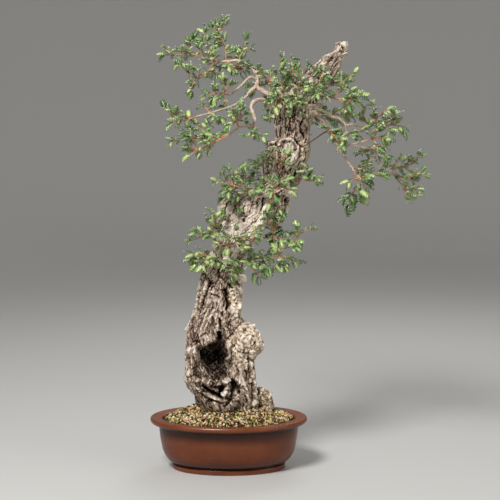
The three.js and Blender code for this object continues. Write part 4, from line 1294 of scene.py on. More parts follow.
def stroked(spots, normals):
    """How far the strokes raise or sink each spot that faces the front, in millimetres."""
    sight = spots - numpy.array(EYE)
    facing = -(normals * sight).sum(1) / numpy.linalg.norm(sight, axis=1)
    level = sight[:, 1] * math.cos(VIEW_TILT) - sight[:, 2] * math.sin(VIEW_TILT)
    above = sight[:, 1] * math.sin(VIEW_TILT) + sight[:, 2] * math.cos(VIEW_TILT)
    seen_x = EYE.x + sight[:, 0] * VIEW_DISTANCE / level
    seen_z = VIEW_MIDDLE + above * VIEW_DISTANCE / level
    seen_x += numpy.sin(seen_z / 3.1) * 0.7 + numpy.sin(seen_z / 1.7 + seen_x / 5) * 0.4
    raised = numpy.zeros(len(spots))
    sunk = numpy.zeros(len(spots))
    for height, half_width, points in BARK_STROKES:
        nearest = numpy.full(len(spots), 1e9)
        for (x, z), (next_x, next_z) in zip(points, points[1:]):
            run_x, run_z = next_x - x, next_z - z
            share = ((seen_x - x) * run_x + (seen_z - z) * run_z) / (run_x**2 + run_z**2 + 1e-9)
            share = share.clip(0, 1)
            away = numpy.hypot(seen_x - x - share * run_x, seen_z - z - share * run_z)
            nearest = numpy.minimum(nearest, away)
        bump = height * (1 - (nearest / half_width) ** 2).clip(0, 1) ** 1.5
        raised = numpy.maximum(raised, bump)
        sunk = numpy.minimum(sunk, bump)
    return (raised + sunk * 0.85) * ((facing + 0.2) / 0.4).clip(0, 1)


def bark_relief(spot, shares):
    """How far the bark stands out, as a share of its depth, its lightness and its place along the grain."""
    middle, _, _, run = section_at(spot.z)
    flow = Vector((spot.x - middle.x, spot.y - middle.y, run))
    flow += noise.noise_vector(flow / 40) * 9 + noise.noise_vector(flow / 9) * 1.6
    # long ridges that follow the trunk
    ridge = 0.9 - 2.2 * abs(noise.noise(Vector((flow.x / 10, flow.y / 10, flow.z / 70))))
    # plates with fissures between them, and flakes over the plates
    plates, corners = noise.voronoi(Vector((flow.x / 8.5, flow.y / 8.5, flow.z / 25)))
    fissure = fade(0.11, 0.01, plates[1] - plates[0])
    slab = noise.cell(corners[0] * 7.3) - 0.5
    flakes, chips = noise.voronoi(Vector((flow.x / 3.8, flow.y / 3.8, flow.z / 9.5)))
    split = fade(0.17, 0.02, flakes[1] - flakes[0])
    chip = noise.cell(chips[0] * 5.1) - 0.5
    # crumbly knobs of cork
    crumbly = spot + noise.noise_vector(spot / 5) * 2.4
    knobs, crumbs = noise.voronoi(crumbly / 8.5)[0], noise.voronoi(crumbly / 3.8)[0]
    knob = 0.5 - 0.9 * knobs[0] + 0.4 - 0.75 * crumbs[0] - 0.3 * fade(0.15, 0.02, knobs[1] - knobs[0])
    # strands of bare wood
    strand = 0.9 - 2.4 * abs(noise.noise(Vector((flow.x / 6.5, flow.y / 6.5, flow.z / 75)) + WOOD))
    streak = noise.noise(Vector((flow.x / 2.6, flow.y / 2.6, flow.z / 38)))
    fine = noise.fractal(spot / 3, 1, 2, 2)
    live = 0.32 * ridge + 0.26 * slab - 0.6 * fissure - 0.3 * split + 0.16 * chip + 0.1
    wood = 0.42 * (strand - 0.3) + 0.24 * streak - 0.18 * split + 0.12 * chip
    cork, bare = shares["cork"], shares["bare"]
    relief = live + (knob - live) * cork
    relief += (wood - relief) * bare
    relief += 0.3 * noise.noise(spot / 22) + 0.09 * fine
    # the light is darker in the fissures and splits, partly the bark's own colour and partly painted shade,
    # and paler on the ridges
    shade = 0.5 - 0.12 * fade(540, 640, spot.z)
    light = 0.76 + 0.16 * slab + 0.16 * chip - shade * fissure - 0.36 * split + 0.24 * (ridge - 0.4)
    light += (0.38 + 0.66 * (knob + 0.5) - light) * cork
    light += (0.66 + 0.3 * streak + 0.34 * (strand - 0.4) - 0.22 * split + 0.1 * chip - light) * bare
    # painted light: the leaning middle, shaded by the leaves in front, is lifted paler, and so, a little,
    # is all of the trunk above 270 mm
    pale = 0.06 * fade(270, 300, spot.z) + 0.08 * fade(380, 420, spot.z)
    pale += 0.26 * fade(390, 430, spot.z) * fade(585, 555, spot.z)
    light = 0.62 + (light - 0.62) * 1.15 + 0.45 * shares["worn"]
    return relief, light + 0.14 * fine + pale, flow


class BonsaiTrunk(bpy.types.PropertyGroup):
    """Sizes of the trunk's bark and the colours of its limbs and twigs"""

    bark_depth: size_of("Bark depth", "Depth of the bark's relief", 4)
    mesh_size: size_of("Mesh size", "Distance between the points of the trunk's surface", 1.45)
    limb_dark: colour_of("Limb shade", "Darker colour of the limbs' bark", "#8d7565")
    limb_light: colour_of("Limb light", "Lighter colour of the limbs' bark", "#e0cab4")
    twig_dark: colour_of("Twig shade", "Darker colour of the twigs", "#93502f")
    twig_light: colour_of("Twig light", "Lighter colour of the twigs", "#dfa078")


class BONSAI_OT_trunk(bpy.types.Operator):
    """Grow the trunk together, hollow it and work its bark"""

    bl_idname = "bonsai.trunk"
    bl_label = "Trunk"

    def execute(self, context):
        noise.seed_set(NOISE_SEED)
        trunk = context.scene.bonsai_trunk
        even = ("REMESH", {"mode": "VOXEL", "voxel_size": trunk.mesh_size / MM})
        grown = settled(trunk_shell(), [even])
        hollow = ragged(settled(hollow_shell(), [even]))
        bm = bmesh.new()
        bm.from_mesh(cut_out(grown, hollow, [even, ("SMOOTH", {"factor": 0.5, "iterations": 8})]))
        bm.normal_update()
        layers = {name: bm.verts.layers.float.new(name) for name in ("light", *COATS)}
        grain = bm.verts.layers.float_vector.new("grain")
        spots = numpy.array([corner.co for corner in bm.verts])
        strokes = stroked(spots, numpy.array([corner.normal for corner in bm.verts]))
        moved = []
        for corner, stroke in zip(bm.verts, strokes):
            shares = patch_shares(corner.co)
            relief, light, flow = bark_relief(corner.co, shares)
            # the finer relief gets shallower in a furrow and towards the top
            furrow = max(0, -stroke / 7)
            height = corner.co.z
            kept = 1 - 0.28 * fade(400, 480, height) - 0.2 * fade(540, 640, height)
            depth = trunk.bark_depth / MM * kept
            lift = relief * depth * (1 - 0.6 * min(1, furrow)) + stroke
            moved.append(corner.co + corner.normal * lift)
            # painted shade: the light attribute is darkened in the strokes' furrows; it is also lighter on
            # the raised strokes
            corner[layers["light"]] = light - furrow * 0.55 + max(0, stroke) * 0.05
            for kind in COATS:
                corner[layers[kind]] = shares[kind]
            corner[grain] = flow * MM
        for corner, spot in zip(bm.verts, moved):
            corner.co = spot
        bark = oak_bark()
        levels = [None, *TRUNK_CUTS, None]
        for name, low, high in zip(TRUNK_PIECES, levels, levels[1:]):
            piece(name, to_frame(length_between(bm, low, high)), [bark], ["trunk"])
        bm.free()
        return {"FINISHED"}


def length_between(bm, low, high):
    """A length of the trunk between two levels, closed at its ends. No level leaves an end whole."""
    part = bm.copy()
    for level, above in ((high, True), (low, False)):
        if level is not None:
            cut = bmesh.ops.bisect_plane(
                part,
                geom=part.verts[:] + part.edges[:] + part.faces[:],
                plane_co=(0, 0, level),
                plane_no=(0, 0, 1),
                clear_outer=above,
                clear_inner=not above,
            )
            rim = [edge for edge in cut["geom_cut"] if isinstance(edge, bmesh.types.BMEdge)]
            for edge in rim:
                edge.smooth = False
            bmesh.ops.holes_fill(part, edges=rim, sides=0)
    return part


class BONSAI_OT_limbs(bpy.types.Operator):
    """Grow the bare limbs out of the trunk"""

    bl_idname = "bonsai.limbs"
    bl_label = "Limbs"

    def execute(self, context):
        trunk = context.scene.bonsai_trunk
        bm = bmesh.new()
        for points, start, end in LIMBS:
            line = through([seen(point) for point in points], LIMB_SPANS)
            last = len(line) - 1
            radii = [start + (end - start) * i / last for i in range(last + 1)]
            flared = [radius + start * 0.5 * fade(LIMB_FLARE, 0, i) for i, radius in enumerate(radii)]
            stem(bm, line, flared, 12, knobbly=0.28)
        bark = young_bark("limb_bark", trunk.limb_dark, trunk.limb_light)
        piece("bare_limbs", to_frame(bm), [bark], ["trunk"])
        return {"FINISHED"}


# Brace wire from the right limb to the scar on the trunk, and its radius
WIRE_RADIUS = 1.2
BRACE_WIRE = [(199, 672, -41), (188, 667, -42), (166, 652, -43), (146, 640, -41), (128, 634, -37)]


class BONSAI_OT_wire(bpy.types.Operator):
    """Stretch the brace wire from the right limb to the trunk"""

    bl_idname = "bonsai.wire"
    bl_label = "Brace wire"

    def execute(self, context):
        bm = bmesh.new()
        line = through([seen(point) for point in BRACE_WIRE], 6)
        stem(bm, line, [WIRE_RADIUS] * len(line), 12)
        piece("training_wire", to_frame(bm), [training_wire()], ["brace_wire"])
        return {"FINISHED"}


# Sprays of leaves. Each spray is one or more twigs, seen from the front as (x, z, y). Twigs after
# the first fork from it. The first point is inside the wood that the spray grows from.
SPRAYS = {
    "crest_tall": [
        [(-6, 811, 42), (-7, 836, 44), (-14, 854, 48), (-18, 874, 52), (-22, 896, 54)],
        [(-14, 854, 48), (-28, 870, 38), (-35, 888, 34)],
        [(-18, 874, 52), (-8, 884, 60), (-3, 896, 64)],
    ],
    "crest_mid": [[(-34, 815, 49), (-42, 844, 64), (-46, 858, 70), (-51, 878, 74)]],
    "crest_short": [[(-48, 818, 53), (-55, 834, 38), (-60, 850, 28)]],
    "crest_left": [
        [(-53, 819, 54), (-80, 828, 60), (-98, 824, 66), (-122, 824, 70), (-138, 823, 72)],
        [(-80, 828, 60), (-78, 840, 68), (-82, 862, 78)],
    ],
    "crest_front": [
        [(-26, 814, 47), (-40, 792, 20), (-52, 786, 8), (-77, 777, 0), (-79, 790, -6), (-84, 804, -10)],
    ],
    "crest_under": [
        [(-30, 814, 48), (-30, 798, 62), (-26, 782, 72)],
        [(-30, 806, 54), (-28, 820, 30), (-34, 830, 20)],
    ],
    "crest_inner": [
        [(-2, 811, 40), (9, 800, 24), (17, 788, 14)],
        [(9, 800, 24), (24, 802, 16), (42, 808, 8)],
        [(9, 800, 24), (22, 794, 34), (34, 784, 40)],
    ],
    "crest_back": [
        [(22, 811, 31), (20, 822, 60), (18, 830, 84)],
        [(20, 822, 60), (36, 832, 66), (52, 840, 70)],
    ],
    "left_inner": [
        [(3, 743, -10), (-12, 746, -16), (-26, 746, -22), (-42, 743, -28), (-58, 742, -32)],
        [(-26, 746, -22), (-29, 766, -32)],
        [(-12, 746, -16), (-2, 760, -26), (8, 772, -32)],
        [(-12, 746, -16), (-8, 730, -30), (-14, 716, -38)],
    ],
    "left_low_tip": [
        [(-63, 701, -68), (-78, 696, -74), (-94, 692, -80), (-104, 690, -84), (-124, 689, -90)],
        [(-104, 690, -84), (-116, 710, -94), (-122, 722, -100)],
    ],
    "left_low_mid": [
        [(-38, 708, -57), (-46, 718, -40), (-58, 724, -22)],
        [(-38, 708, -57), (-24, 700, -64), (-14, 688, -70)],
    ],
    "left_mid_tip": [
        [(-4, 661, -86), (-32, 649, -92), (-44, 644, -96), (-62, 637, -100), (-94, 638, -108)],
        [(-32, 649, -92), (-38, 634, -98), (-44, 624, -100)],
        [(-62, 637, -100), (-74, 626, -104), (-88, 620, -106)],
    ],
    "left_mid_upper": [
        [(2, 665, -84), (-16, 660, -72), (-40, 661, -60), (-62, 657, -52), (-92, 656, -42),
         (-120, 651, -34)],
        [(-40, 661, -60), (-52, 674, -52), (-70, 693, -44)],
        [(-62, 657, -52), (-76, 672, -50), (-86, 684, -48)],
    ],
    "left_mid_inner": [
        [(20, 678, -80), (16, 692, -92), (10, 706, -104), (6, 716, -112)],
        [(16, 692, -92), (30, 704, -98), (42, 712, -102)],
        [(16, 692, -92), (30, 692, -100), (42, 689, -106)],
        [(16, 692, -92), (6, 684, -100), (-6, 679, -104)],
    ],
    "hook_under": [
        [(48, 685, -75), (53, 668, -84), (52, 654, -90)],
        [(53, 668, -84), (38, 664, -92), (24, 662, -98)],
        [(53, 668, -84), (66, 662, -92), (74, 654, -98)],
    ],
    "right_low_tip": [
        [(250, 593, -65), (258, 578, -70), (268, 566, -76), (279, 575, -88)],
        [(258, 578, -70), (256, 558, -62), (243, 543, -56), (226, 526, -50)],
        [(256, 558, -62), (266, 546, -60), (274, 534, -58)],
        [(258, 578, -70), (244, 572, -74), (234, 562, -76)],
    ],
    "right_low_side": [
        [(246, 600, -64), (264, 592, -50), (276, 586, -42), (302, 582, -34), (320, 582, -28)],
    ],
    "right_inner": [
        [(194, 682, -37), (208, 666, -66), (205, 650, -76)],
        [(208, 666, -66), (222, 650, -74), (234, 632, -78)],
    ],
    "right_long": [
        [(265, 680, -30), (278, 684, -26), (292, 688, -22), (306, 685, -18), (340, 683, -10),
         (362, 675, -6)],
        [(292, 688, -22), (300, 702, -30), (314, 712, -34), (328, 710, -36)],
        [(278, 684, -26), (270, 696, -34), (260, 706, -40)],
        [(270, 696, -34), (270, 712, -40), (268, 726, -44)],
        [(306, 685, -18), (326, 692, -22), (344, 698, -24)],
    ],
    "right_long_drop": [
        [(234, 684, -42), (234, 668, -58), (229, 644, -82)],
        [(234, 668, -58), (250, 668, -52), (264, 656, -46)],
    ],
    "right_mid_front": [
        [(271, 652, -76), (286, 656, -80), (298, 658, -84), (326, 654, -88)],
        [(286, 656, -80), (298, 672, -84), (308, 680, -86)],
        [(286, 656, -80), (296, 642, -84), (304, 630, -86)],
    ],
    "right_mid_tip": [
        [(286, 636, -6), (304, 636, -10), (320, 637, -14)],
        [(304, 636, -10), (312, 624, -16), (320, 612, -20)],
    ],
    "right_mid_back": [[(262, 639, -18), (270, 630, 4), (279, 620, 22), (276, 590, 44)]],
    "far_right": [[(334, 587, 20), (350, 578, 26), (358, 578, 28), (372, 584, 30), (396, 594, 34)]],
    "far_right_drop": [
        [(326, 590, 18), (342, 568, 6), (350, 556, 0), (368, 536, -6)],
        [(350, 556, 0), (366, 548, 4), (382, 540, 6)],
    ],
    "far_right_rise": [
        [(318, 594, 14), (334, 600, 34), (352, 602, 46), (366, 622, 54)],
        [(352, 602, 46), (366, 606, 48), (380, 614, 50)],
    ],
    "upper_right_rise": [[(213, 746, -44), (226, 752, -46), (228, 762, -46), (222, 784, -42)]],
    "upper_right": [
        [(200, 740, -38), (222, 736, -58), (238, 742, -66), (252, 756, -72)],
        [(222, 736, -58), (246, 740, -52), (276, 746, -46)],
        [(222, 736, -58), (234, 724, -66), (248, 714, -72)],
    ],
    "top_left": [
        [(82, 746, 9), (84, 770, 18), (92, 782, 20), (102, 794, 22), (114, 808, 24)],
        [(84, 770, 18), (72, 778, 10), (62, 786, 4)],
        [(84, 770, 18), (66, 764, 26), (48, 762, 32), (30, 766, 36)],
        [(72, 778, 10), (62, 792, 2), (56, 804, -2)],
        [(66, 764, 26), (54, 754, 34), (44, 746, 38)],
        [(102, 794, 22), (104, 812, 28), (106, 830, 30)],
    ],
    "top_mid": [[(144, 752, -14), (138, 770, -24), (134, 780, -25), (128, 794, -22), (126, 811, -18)]],
    "top_low": [[(116, 740, -10), (106, 766, -26), (114, 786, -36)]],
    "apex_front_left": [
        [(108, 722, -18), (102, 738, -52), (96, 750, -72), (88, 758, -88)],
        [(102, 738, -52), (94, 722, -66), (88, 708, -70)],
    ],
    "apex_front": [
        [(138, 730, -16), (134, 742, -56), (138, 748, -78), (146, 754, -98)],
        [(134, 742, -56), (126, 722, -70), (118, 704, -76)],
        [(134, 742, -56), (142, 722, -68), (144, 702, -72)],
    ],
    "apex_front_right": [
        [(162, 742, -12), (168, 754, -48), (178, 762, -66), (196, 774, -80)],
        [(168, 754, -48), (184, 744, -62), (200, 736, -70)],
    ],
    "apex_right": [[(190, 762, 0), (212, 764, -4), (230, 770, 4), (246, 782, 12)]],
    "apex_crown": [[(176, 788, -14), (181, 792, -50), (190, 800, -62)]],
    "back_top": [[(166, 762, 8), (160, 776, 44), (150, 782, 66), (140, 786, 86)]],
    "back_left": [[(106, 690, 12), (100, 704, 54), (94, 718, 84), (88, 732, 112), (82, 740, 136)]],
    "back_right": [[(152, 700, 10), (184, 702, 50), (206, 706, 78), (230, 706, 104), (254, 702, 126)]],
    "back_mid": [[(130, 716, 12), (126, 738, 60), (122, 752, 92), (116, 762, 124), (110, 766, 150)]],
    "back_low": [[(136, 640, 14), (130, 650, 60), (122, 656, 90), (112, 650, 116)]],
    "mid_left": [
        [(80, 556, -14), (40, 558, -40), (24, 559, -48), (8, 563, -54), (-24, 570, -64), (-34, 574, -66)],
        [(8, 563, -54), (3, 584, -50), (-4, 602, -48)],
    ],
    "mid_left_low": [
        [(50, 544, 0), (22, 542, -8), (6, 548, -4), (-16, 560, 4)],
        [(22, 542, -8), (18, 524, -28), (26, 510, -40)],
    ],
    "mid_left_up": [[(84, 576, 4), (42, 575, 6), (34, 586, 12), (25, 593, 18)]],
    "mid_left_high": [[(84, 604, -4), (64, 602, -14), (54, 606, -22), (50, 616, -30)]],
    "mid_front": [
        [(106, 590, -20), (102, 604, -50), (92, 618, -62), (80, 632, -68)],
        [(102, 604, -50), (110, 618, -60), (118, 634, -64)],
    ],
    "mid_front_low": [
        [(96, 552, -20), (104, 562, -54), (112, 570, -66), (122, 578, -74)],
        [(104, 562, -54), (92, 552, -62), (78, 548, -66)],
        [(104, 562, -54), (118, 556, -62), (132, 550, -64)],
        [(92, 552, -62), (84, 532, -60), (80, 516, -58)],
    ],
    "mid_right": [
        [(130, 580, -12), (148, 575, -36), (156, 580, -42), (166, 588, -48)],
        [(148, 575, -36), (164, 572, -42), (180, 570, -44)],
        [(156, 580, -42), (158, 592, -46), (158, 606, -48)],
    ],
    "low_left_upper": [
        [(-12, 458, -4), (-36, 461, -22), (-58, 466, -34), (-74, 474, -40)],
        [(-36, 461, -22), (-30, 476, -34), (-27, 491, -42)],
        [(-30, 476, -34), (-18, 490, -46), (-8, 506, -52)],
    ],
    "low_left": [
        [(-14, 424, -10), (-34, 420, -32), (-62, 426, -44), (-79, 420, -50)],
        [(-34, 420, -32), (-50, 406, -50), (-56, 394, -56)],
    ],
    "low_front": [
        [(0, 414, -20), (-2, 404, -52), (-12, 397, -66)],
        [(-2, 404, -52), (6, 388, -60), (3, 370, -64)],
        [(-2, 404, -52), (14, 402, -66), (24, 392, -74)],
    ],
    "low_front_upper": [
        [(10, 440, -20), (14, 450, -56), (10, 468, -68), (16, 484, -66)],
        [(14, 450, -56), (30, 456, -62), (48, 464, -66), (64, 472, -68)],
        [(14, 450, -56), (32, 440, -64), (50, 434, -68)],
        [(14, 450, -56), (-2, 440, -64), (-10, 428, -68)],
        [(30, 456, -62), (46, 450, -70), (62, 445, -72)],
    ],
    "low_right_upper": [
        [(48, 458, -4), (86, 458, -26), (118, 454, -38), (132, 454, -42), (146, 448, -46)],
        [(132, 454, -42), (138, 472, -46), (138, 488, -48)],
        [(86, 458, -26), (92, 474, -38), (96, 492, -46)],
        [(92, 474, -38), (82, 490, -48), (70, 504, -52)],
        [(92, 474, -38), (102, 490, -50), (108, 504, -54)],
    ],
    "low_right": [
        [(14, 418, -10), (40, 414, -32), (66, 418, -38), (100, 422, -46), (122, 418, -50), (134, 402, -54)],
        [(40, 414, -32), (48, 398, -46), (58, 386, -54), (68, 396, -58)],
        [(66, 418, -38), (76, 402, -50), (88, 390, -56)],
        [(100, 422, -46), (108, 404, -54), (114, 390, -58)],
        [(100, 422, -46), (108, 434, -52), (114, 446, -54)],
    ],
}


# Sprays whose leaves are larger than the others' or stand further apart, with how much of each
LEAF_HABITS = {
    "low_left": (1.15, 1.15),
    "low_front": (1.1, 1.5),
    "low_front_upper": (1, 1.7),
    "low_right": (1.25, 1.25),
    "low_right_upper": (1.1, 1.3),
    "low_left_upper": (1.1, 1.2),
    "mid_left": (1.1, 1.1),
    "mid_left_low": (1, 1.5),
    "mid_right": (1.15, 1.4),
    "mid_front": (1, 1.6),
    "mid_front_low": (1.05, 1.7),
    "right_low_tip": (1.35, 1.3),
    "apex_front": (1, 1.2),
    "top_mid": (1, 1.2),
}


def length_of(points):
    """The length of a row of points."""
    return sum((b - a).length for a, b in zip(points, points[1:]))


def at(points, distance):
    """The point and direction at a distance along a row of points."""
    left = distance
    for i in range(1, len(points)):
        step = points[i] - points[i - 1]
        size = step.length
        if left <= size or i == len(points) - 1:
            break
        left -= size
    return points[i - 1] + step * (left / size), step / size


def outwards(along, angle):
    """A direction square to a twig, turned round it by an angle."""
    level = Vector((1, 0, 0)) if abs(along.z) > 0.92 else UP
    first = along.cross(level).normalized()
    return first * math.cos(angle) + first.cross(along) * math.sin(angle)


def leaf_place(twig, s, k, forward, seed):
    """The foot, heading, facing and size of a leaf at a distance along a twig."""
    point, along = at(twig, s)
    out = outwards(along, k * 2.4 + draw(k, seed) * 0.9)
    heading = (along * forward + out).normalized()
    facing = UP - along * 0.3
    facing.x += 2 * (draw(k, seed + 1) - 0.5)
    facing.y += 2.2 * (draw(k, seed + 2) - 0.68)
    facing = (facing - heading * facing.dot(heading)).normalized()
    return point, heading, facing, 0.62 + 0.6 * draw(k, seed + 3)


def leaf_places(twig, bare, seed, spacing):
    """Leaves stand round a twig in a spiral, closer together at its tip."""
    length = length_of(twig)
    places = []
    k = 0
    s = bare
    while s < length - 3:
        places.append(leaf_place(twig, s, k, 0.7, seed))
        k += 1
        s += spacing
    for short, forward in ((1, 3), (2, 1.2), (1.5, 1.2)):
        k += 1
        places.append(leaf_place(twig, length - short, k, forward, seed))
    return places


def twig_along(points):
    """A twig stops short of its last point, which is the middle of its end leaf."""
    spots = [seen(point) for point in points]
    spots[-1] -= (spots[-1] - spots[-2]).normalized() * LEAF_REACH / 2
    return spots


def side_shoots(twig, seed, spacing, reach):
    """Short shoots off a twig, each a foot, a middle and a tip."""
    shoots = []
    length = length_of(twig)
    s = spacing * 0.8
    count = 0
    while s < length - 8:
        point, along = at(twig, s)
        out = outwards(along, count * 2.6 + draw(count, seed) * 1.4)
        heading = (along * 0.6 + out).normalized()
        size = reach * (0.7 + 0.6 * draw(count, seed + 5))
        tip = point + heading * size + along * size * 0.15
        shoots.append([point, point + heading * size * 0.55, tip])
        count += 1
        s += spacing
    return shoots


# Outline of a leaf from its stalk to its tip: shares of the length and of the half width, with
# a spiny tooth at each wide place
LEAF_OUTLINE = [
    (0.0, 0.07),
    (0.12, 0.1),
    (0.22, 0.82),
    (0.32, 0.44),
    (0.46, 1.0),
    (0.55, 0.48),
    (0.69, 0.94),
    (0.77, 0.36),
    (0.88, 0.56),
    (0.92, 0.18),
    (1.0, 0.0),
]


# Forms of leaf: how broad, how far folded up, how far curled down and how wavy at the edge
LEAF_FORMS = [
    (1, 0.12, 0.2, 0.16),
    (0.85, 0.26, 0.45, 0.18),
    (1.1, 0.04, 0.02, 0.22),
    (0.95, 0.36, 0.12, 0.15),
]


def leaf_shape(length, width, fold, curl, ripple):
    """One leaf, closed like a lens: the waxy upper skin and the paler skin below."""
    bm = bmesh.new()
    uv = bm.loops.layers.uv.new("UVMap")
    count = len(LEAF_OUTLINE) - 1
    bmesh.ops.create_grid(bm, x_segments=count, y_segments=2, size=1)
    rows = {}
    for spot in bm.verts:
        rows[spot] = (round((spot.co.x + 1) / 2 * count), round(spot.co.y))
    for face in bm.faces:
        for loop in face.loops:
            column_index, side = rows[loop.vert]
            share, wide = LEAF_OUTLINE[column_index]
            loop[uv].uv = (share, 0.5 + side * wide / 2)
    for spot, (column_index, side) in rows.items():
        share, wide = LEAF_OUTLINE[column_index]
        if side == 0:
            share = column_index / count
        tooth = ripple * (1 if column_index % 2 else -1) * (1 if 2 < column_index < count else 0)
        lift = fold * wide - curl * share * share
        spot.co = (share * length, side * wide * width / 2, (lift + tooth * abs(side)) * width)
    lower = bmesh.ops.duplicate(bm, geom=bm.verts[:] + bm.edges[:] + bm.faces[:])["geom"]
    skin = [part for part in lower if isinstance(part, bmesh.types.BMFace)]
    bmesh.ops.reverse_faces(bm, faces=skin)
    for face in skin:
        face.material_index = 1
    for spot in [part for part in lower if isinstance(part, bmesh.types.BMVert)]:
        if abs(spot.co.y) < 1e-6 and 0 < spot.co.x < length * 0.99:
            spot.co.z -= 0.05 * width
    bmesh.ops.remove_doubles(bm, verts=bm.verts[:], dist=1e-4)
    bm.normal_update()
    return as_mesh(bm, "leaf")


class BonsaiLeaves(bpy.types.PropertyGroup):
    """Sizes and colours of the leaves and how close they stand"""

    leaf_length: size_of("Leaf length", "Length of a middling leaf", 18)
    leaf_width: size_of("Leaf width", "Width of a middling leaf", 12.5)
    leaf_spacing: size_of("Leaf spacing", "Distance between leaves along a twig", 9.6)
    shoot_length: size_of("Shoot length", "Length of a side shoot", 21)
    shoot_spacing: size_of("Shoot spacing", "Distance between side shoots along a twig", 16)
    old: colour_of("Old leaf", "Upper side of an old leaf", "#3f622f")
    middle: colour_of("Leaf", "Upper side of a middling leaf", "#769d52")
    young: colour_of("Young leaf", "Upper side of a young leaf", "#bccb84")
    under: colour_of("Underside", "Lower side of a leaf", "#a9bb90")


class BONSAI_OT_sprays(bpy.types.Operator):
    """Grow the sprays of twigs and toothed leaves"""

    bl_idname = "bonsai.sprays"
    bl_label = "Sprays"

    def execute(self, context):
        noise.seed_set(NOISE_SEED)
        leaves, trunk = context.scene.bonsai_leaves, context.scene.bonsai_trunk
        length, width = leaves.leaf_length / MM, leaves.leaf_width / MM
        shapes = [leaf_shape(length, width * broad, *bends) for broad, *bends in LEAF_FORMS]
        old, middle, young, under = leaves.old, leaves.middle, leaves.young, leaves.under
        dull_old, dull_young = tint(under, old, 0.5), tint(under, young, 0.5)
        skins = [
            leaf_skin("oak_leaf_upper", old, middle, young, 0.24, "#c4d094"),
            leaf_skin("oak_leaf_under", dull_old, under, dull_young, 0.6, "#c3cc96"),
            young_bark("twig_bark", trunk.twig_dark, trunk.twig_light),
        ]
        depsgraph = context.evaluated_depsgraph_get()
        woods = [BVHTree.FromObject(bpy.data.objects[name], depsgraph) for name in TRUNK_PIECES]

        def clear_of_wood(spot, room):
            at_home = spot * MM + POT_CENTRE
            for wood in woods:
                touch, normal, _, distance = wood.find_nearest(at_home)
                buried = (at_home - touch).dot(normal) < 0 and distance < INSIDE_WOOD * MM
                if buried or distance < room * MM:
                    return False
            return True

        for index, (name, twigs) in enumerate(SPRAYS.items()):
            broad, apart = LEAF_HABITS.get(name, (1, 1))
            spacing = leaves.leaf_spacing / MM * apart
            bm = bmesh.new()
            bm.loops.layers.uv.new("UVMap")
            tone = bm.verts.layers.float.new("tone")
            bm.verts.layers.float_vector.new("grain")
            grown = []
            for i, twig in enumerate(twigs):
                line = twig_along(twig)
                own = 100 + index * 7 + i * 17
                grown.append((line, TWIG_BARE if i == 0 else FORK_BARE, own, *TWIG_RADII))
                shoots = side_shoots(line, own, leaves.shoot_spacing / MM, leaves.shoot_length / MM)
                for n, shoot in enumerate(shoots):
                    grown.append((shoot, SHOOT_BARE, own + 31 + n, *SHOOT_RADII))
            places = []
            for line, bare, own, thick, thin in grown:
                if not clear_of_wood(line[-1], TWIG_ROOM):
                    continue
                smooth = through(line, 4)
                last = len(smooth) - 1
                for n in range(1, last):
                    smooth[n] += noise.noise_vector(smooth[n] / 7) * 1.1
                stem(bm, smooth, [thick + (thin - thick) * n / last for n in range(last + 1)], 6)
                leafy = leaf_places(line, bare, own, spacing)
                places += [(*place, own, n) for n, place in enumerate(leafy)]
            for face in bm.faces:
                face.material_index = TWIG_SLOT
            for point, heading, facing, size, own, n in places:
                size *= broad
                ahead = heading * (length * size)
                if not all(clear_of_wood(point + ahead * share, LEAF_ROOM) for share in (0.3, 0.65, 1)):
                    continue
                start = len(bm.verts)
                bm.from_mesh(shapes[int(draw(n, own + 9) * len(shapes))])
                bm.verts.ensure_lookup_table()
                corners = bm.verts[start:]
                turn = Matrix((heading, facing.cross(heading), facing)).transposed().to_4x4()
                bmesh.ops.transform(
                    bm, matrix=Matrix.Translation(point) @ turn @ Matrix.Scale(size, 4), verts=corners
                )
                shade = draw(n, own + 11)
                for corner in corners:
                    corner[tone] = shade
            piece(f"leafy_{name}", to_frame(bm), skins, [f"spray_{name}"])
        return {"FINISHED"}


# Stage


# The paper's sweep from the middle of the floor up to its far edge, in metres
PAPER_SWEEP = [(0, 0), (3.4, 0), (4.4, 0.25), (5.0, 1.1), (5.2, 3.0)]
PAPER_STEPS = 64

# The middle of the tree, which the lights face, in metres
TREE_MIDDLE = Vector((0, 0, 0.48))

# Width of the camera's sensor, in millimetres
SENSOR_WIDTH = 36


class BonsaiStage(bpy.types.PropertyGroup):
    """Floor, lights and lens"""

    floor: colour_of("Floor", "Colour of the paper under the pot", "#c0beba")
    key_power: amount_of("Key light", "Power of the main soft light", 84)
    fill_power: amount_of("Fill light", "Power of the light on the right", 16)
    rim_power: amount_of("Back light", "Power of the light behind", 18)
    room: amount_of("Room light", "Brightness of the light from all round", 0.3)
    lens: amount_of("Lens", "Focal length of the camera, in millimetres", 72.98, least=1)


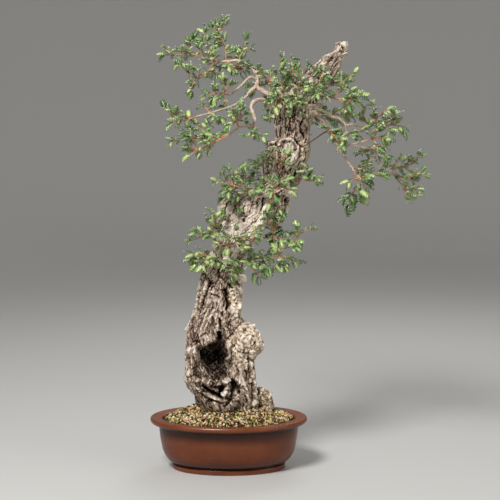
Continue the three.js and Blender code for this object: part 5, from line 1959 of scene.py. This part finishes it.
class BONSAI_OT_stage(bpy.types.Operator):
    """Lay the floor, hang the soft lights and set up the camera"""

    bl_idname = "bonsai.stage"
    bl_label = "Stage"

    def execute(self, context):
        stage = context.scene.bonsai_stage
        floor = put("paper_floor", as_mesh(spun(PAPER_SWEEP, {}, PAPER_STEPS), "paper_floor"))
        floor.data.materials.append(studio_paper(stage.floor))
        floor.data.shade_smooth()
        rounding = floor.modifiers.new("rounding", "SUBSURF")
        rounding.levels = rounding.render_levels = 2

        for name, spot, size, power in (
            ("key_light", (-0.9, -1.8, 2.3), 0.7, stage.key_power),
            ("fill_light", (2.2, -1.4, 1.1), 1.6, stage.fill_power),
            ("back_light", (0.5, 2.0, 2.2), 1.4, stage.rim_power),
        ):
            lamp = bpy.data.lights.new(name, "AREA")
            lamp.shape = "SQUARE"
            lamp.size = size
            lamp.energy = power
            light = put(name, lamp)
            light.location = spot
            light.rotation_mode = "QUATERNION"
            light.rotation_quaternion = (TREE_MIDDLE - light.location).to_track_quat("-Z", "Y")

        world = bpy.data.worlds.new("soft_room")
        world.use_nodes = True
        background = world.node_tree.nodes["Background"]
        background.inputs[0].default_value = linear("#f9fcff")
        background.inputs[1].default_value = stage.room
        context.scene.world = world

        lens = bpy.data.cameras.new("camera")
        lens.lens = stage.lens
        lens.sensor_width = SENSOR_WIDTH
        camera = put("camera", lens)
        camera.location = EYE * MM + POT_CENTRE
        camera.rotation_euler = (math.pi / 2 - VIEW_TILT, 0, 0)
        context.scene.camera = camera
        context.scene.view_settings.view_transform = "Standard"
        return {"FINISHED"}


class BONSAI_PT_panel(bpy.types.Panel):
    """Buttons that build the tree, in order"""

    bl_idname = "BONSAI_PT_panel"
    bl_label = "Oak Bonsai"
    bl_space_type = "VIEW_3D"
    bl_region_type = "UI"
    bl_category = "Bonsai"

    def draw(self, context):
        for maker in MAKERS:
            self.layout.operator(maker.bl_idname)
        for _, name in SETTINGS:
            box = self.layout.box()
            for field in getattr(context.scene, name).bl_rna.properties:
                if field.identifier not in ("rna_type", "name"):
                    box.prop(getattr(context.scene, name), field.identifier)


SETTINGS = (
    (BonsaiPot, "bonsai_pot"),
    (BonsaiSoil, "bonsai_soil"),
    (BonsaiTrunk, "bonsai_trunk"),
    (BonsaiLeaves, "bonsai_leaves"),
    (BonsaiStage, "bonsai_stage"),
)
MAKERS = (
    BONSAI_OT_pot,
    BONSAI_OT_trunk,
    BONSAI_OT_limbs,
    BONSAI_OT_wire,
    BONSAI_OT_sprays,
    BONSAI_OT_soil,
    BONSAI_OT_stage,
)


def register():
    for group, name in SETTINGS:
        bpy.utils.register_class(group)
        setattr(bpy.types.Scene, name, PointerProperty(type=group))
    for maker in (*MAKERS, BONSAI_PT_panel):
        bpy.utils.register_class(maker)


def unregister():
    for maker in (*reversed(MAKERS), BONSAI_PT_panel):
        bpy.utils.unregister_class(maker)
    for group, name in reversed(SETTINGS):
        delattr(bpy.types.Scene, name)
        bpy.utils.unregister_class(group)


def main():
    """Registers the classes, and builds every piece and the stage."""
    register()
    bpy.ops.bonsai.pot()
    bpy.ops.bonsai.trunk()
    bpy.ops.bonsai.limbs()
    bpy.ops.bonsai.wire()
    bpy.ops.bonsai.sprays()
    bpy.ops.bonsai.soil()
    bpy.ops.bonsai.stage()


if __name__ == "__main__":
    main()
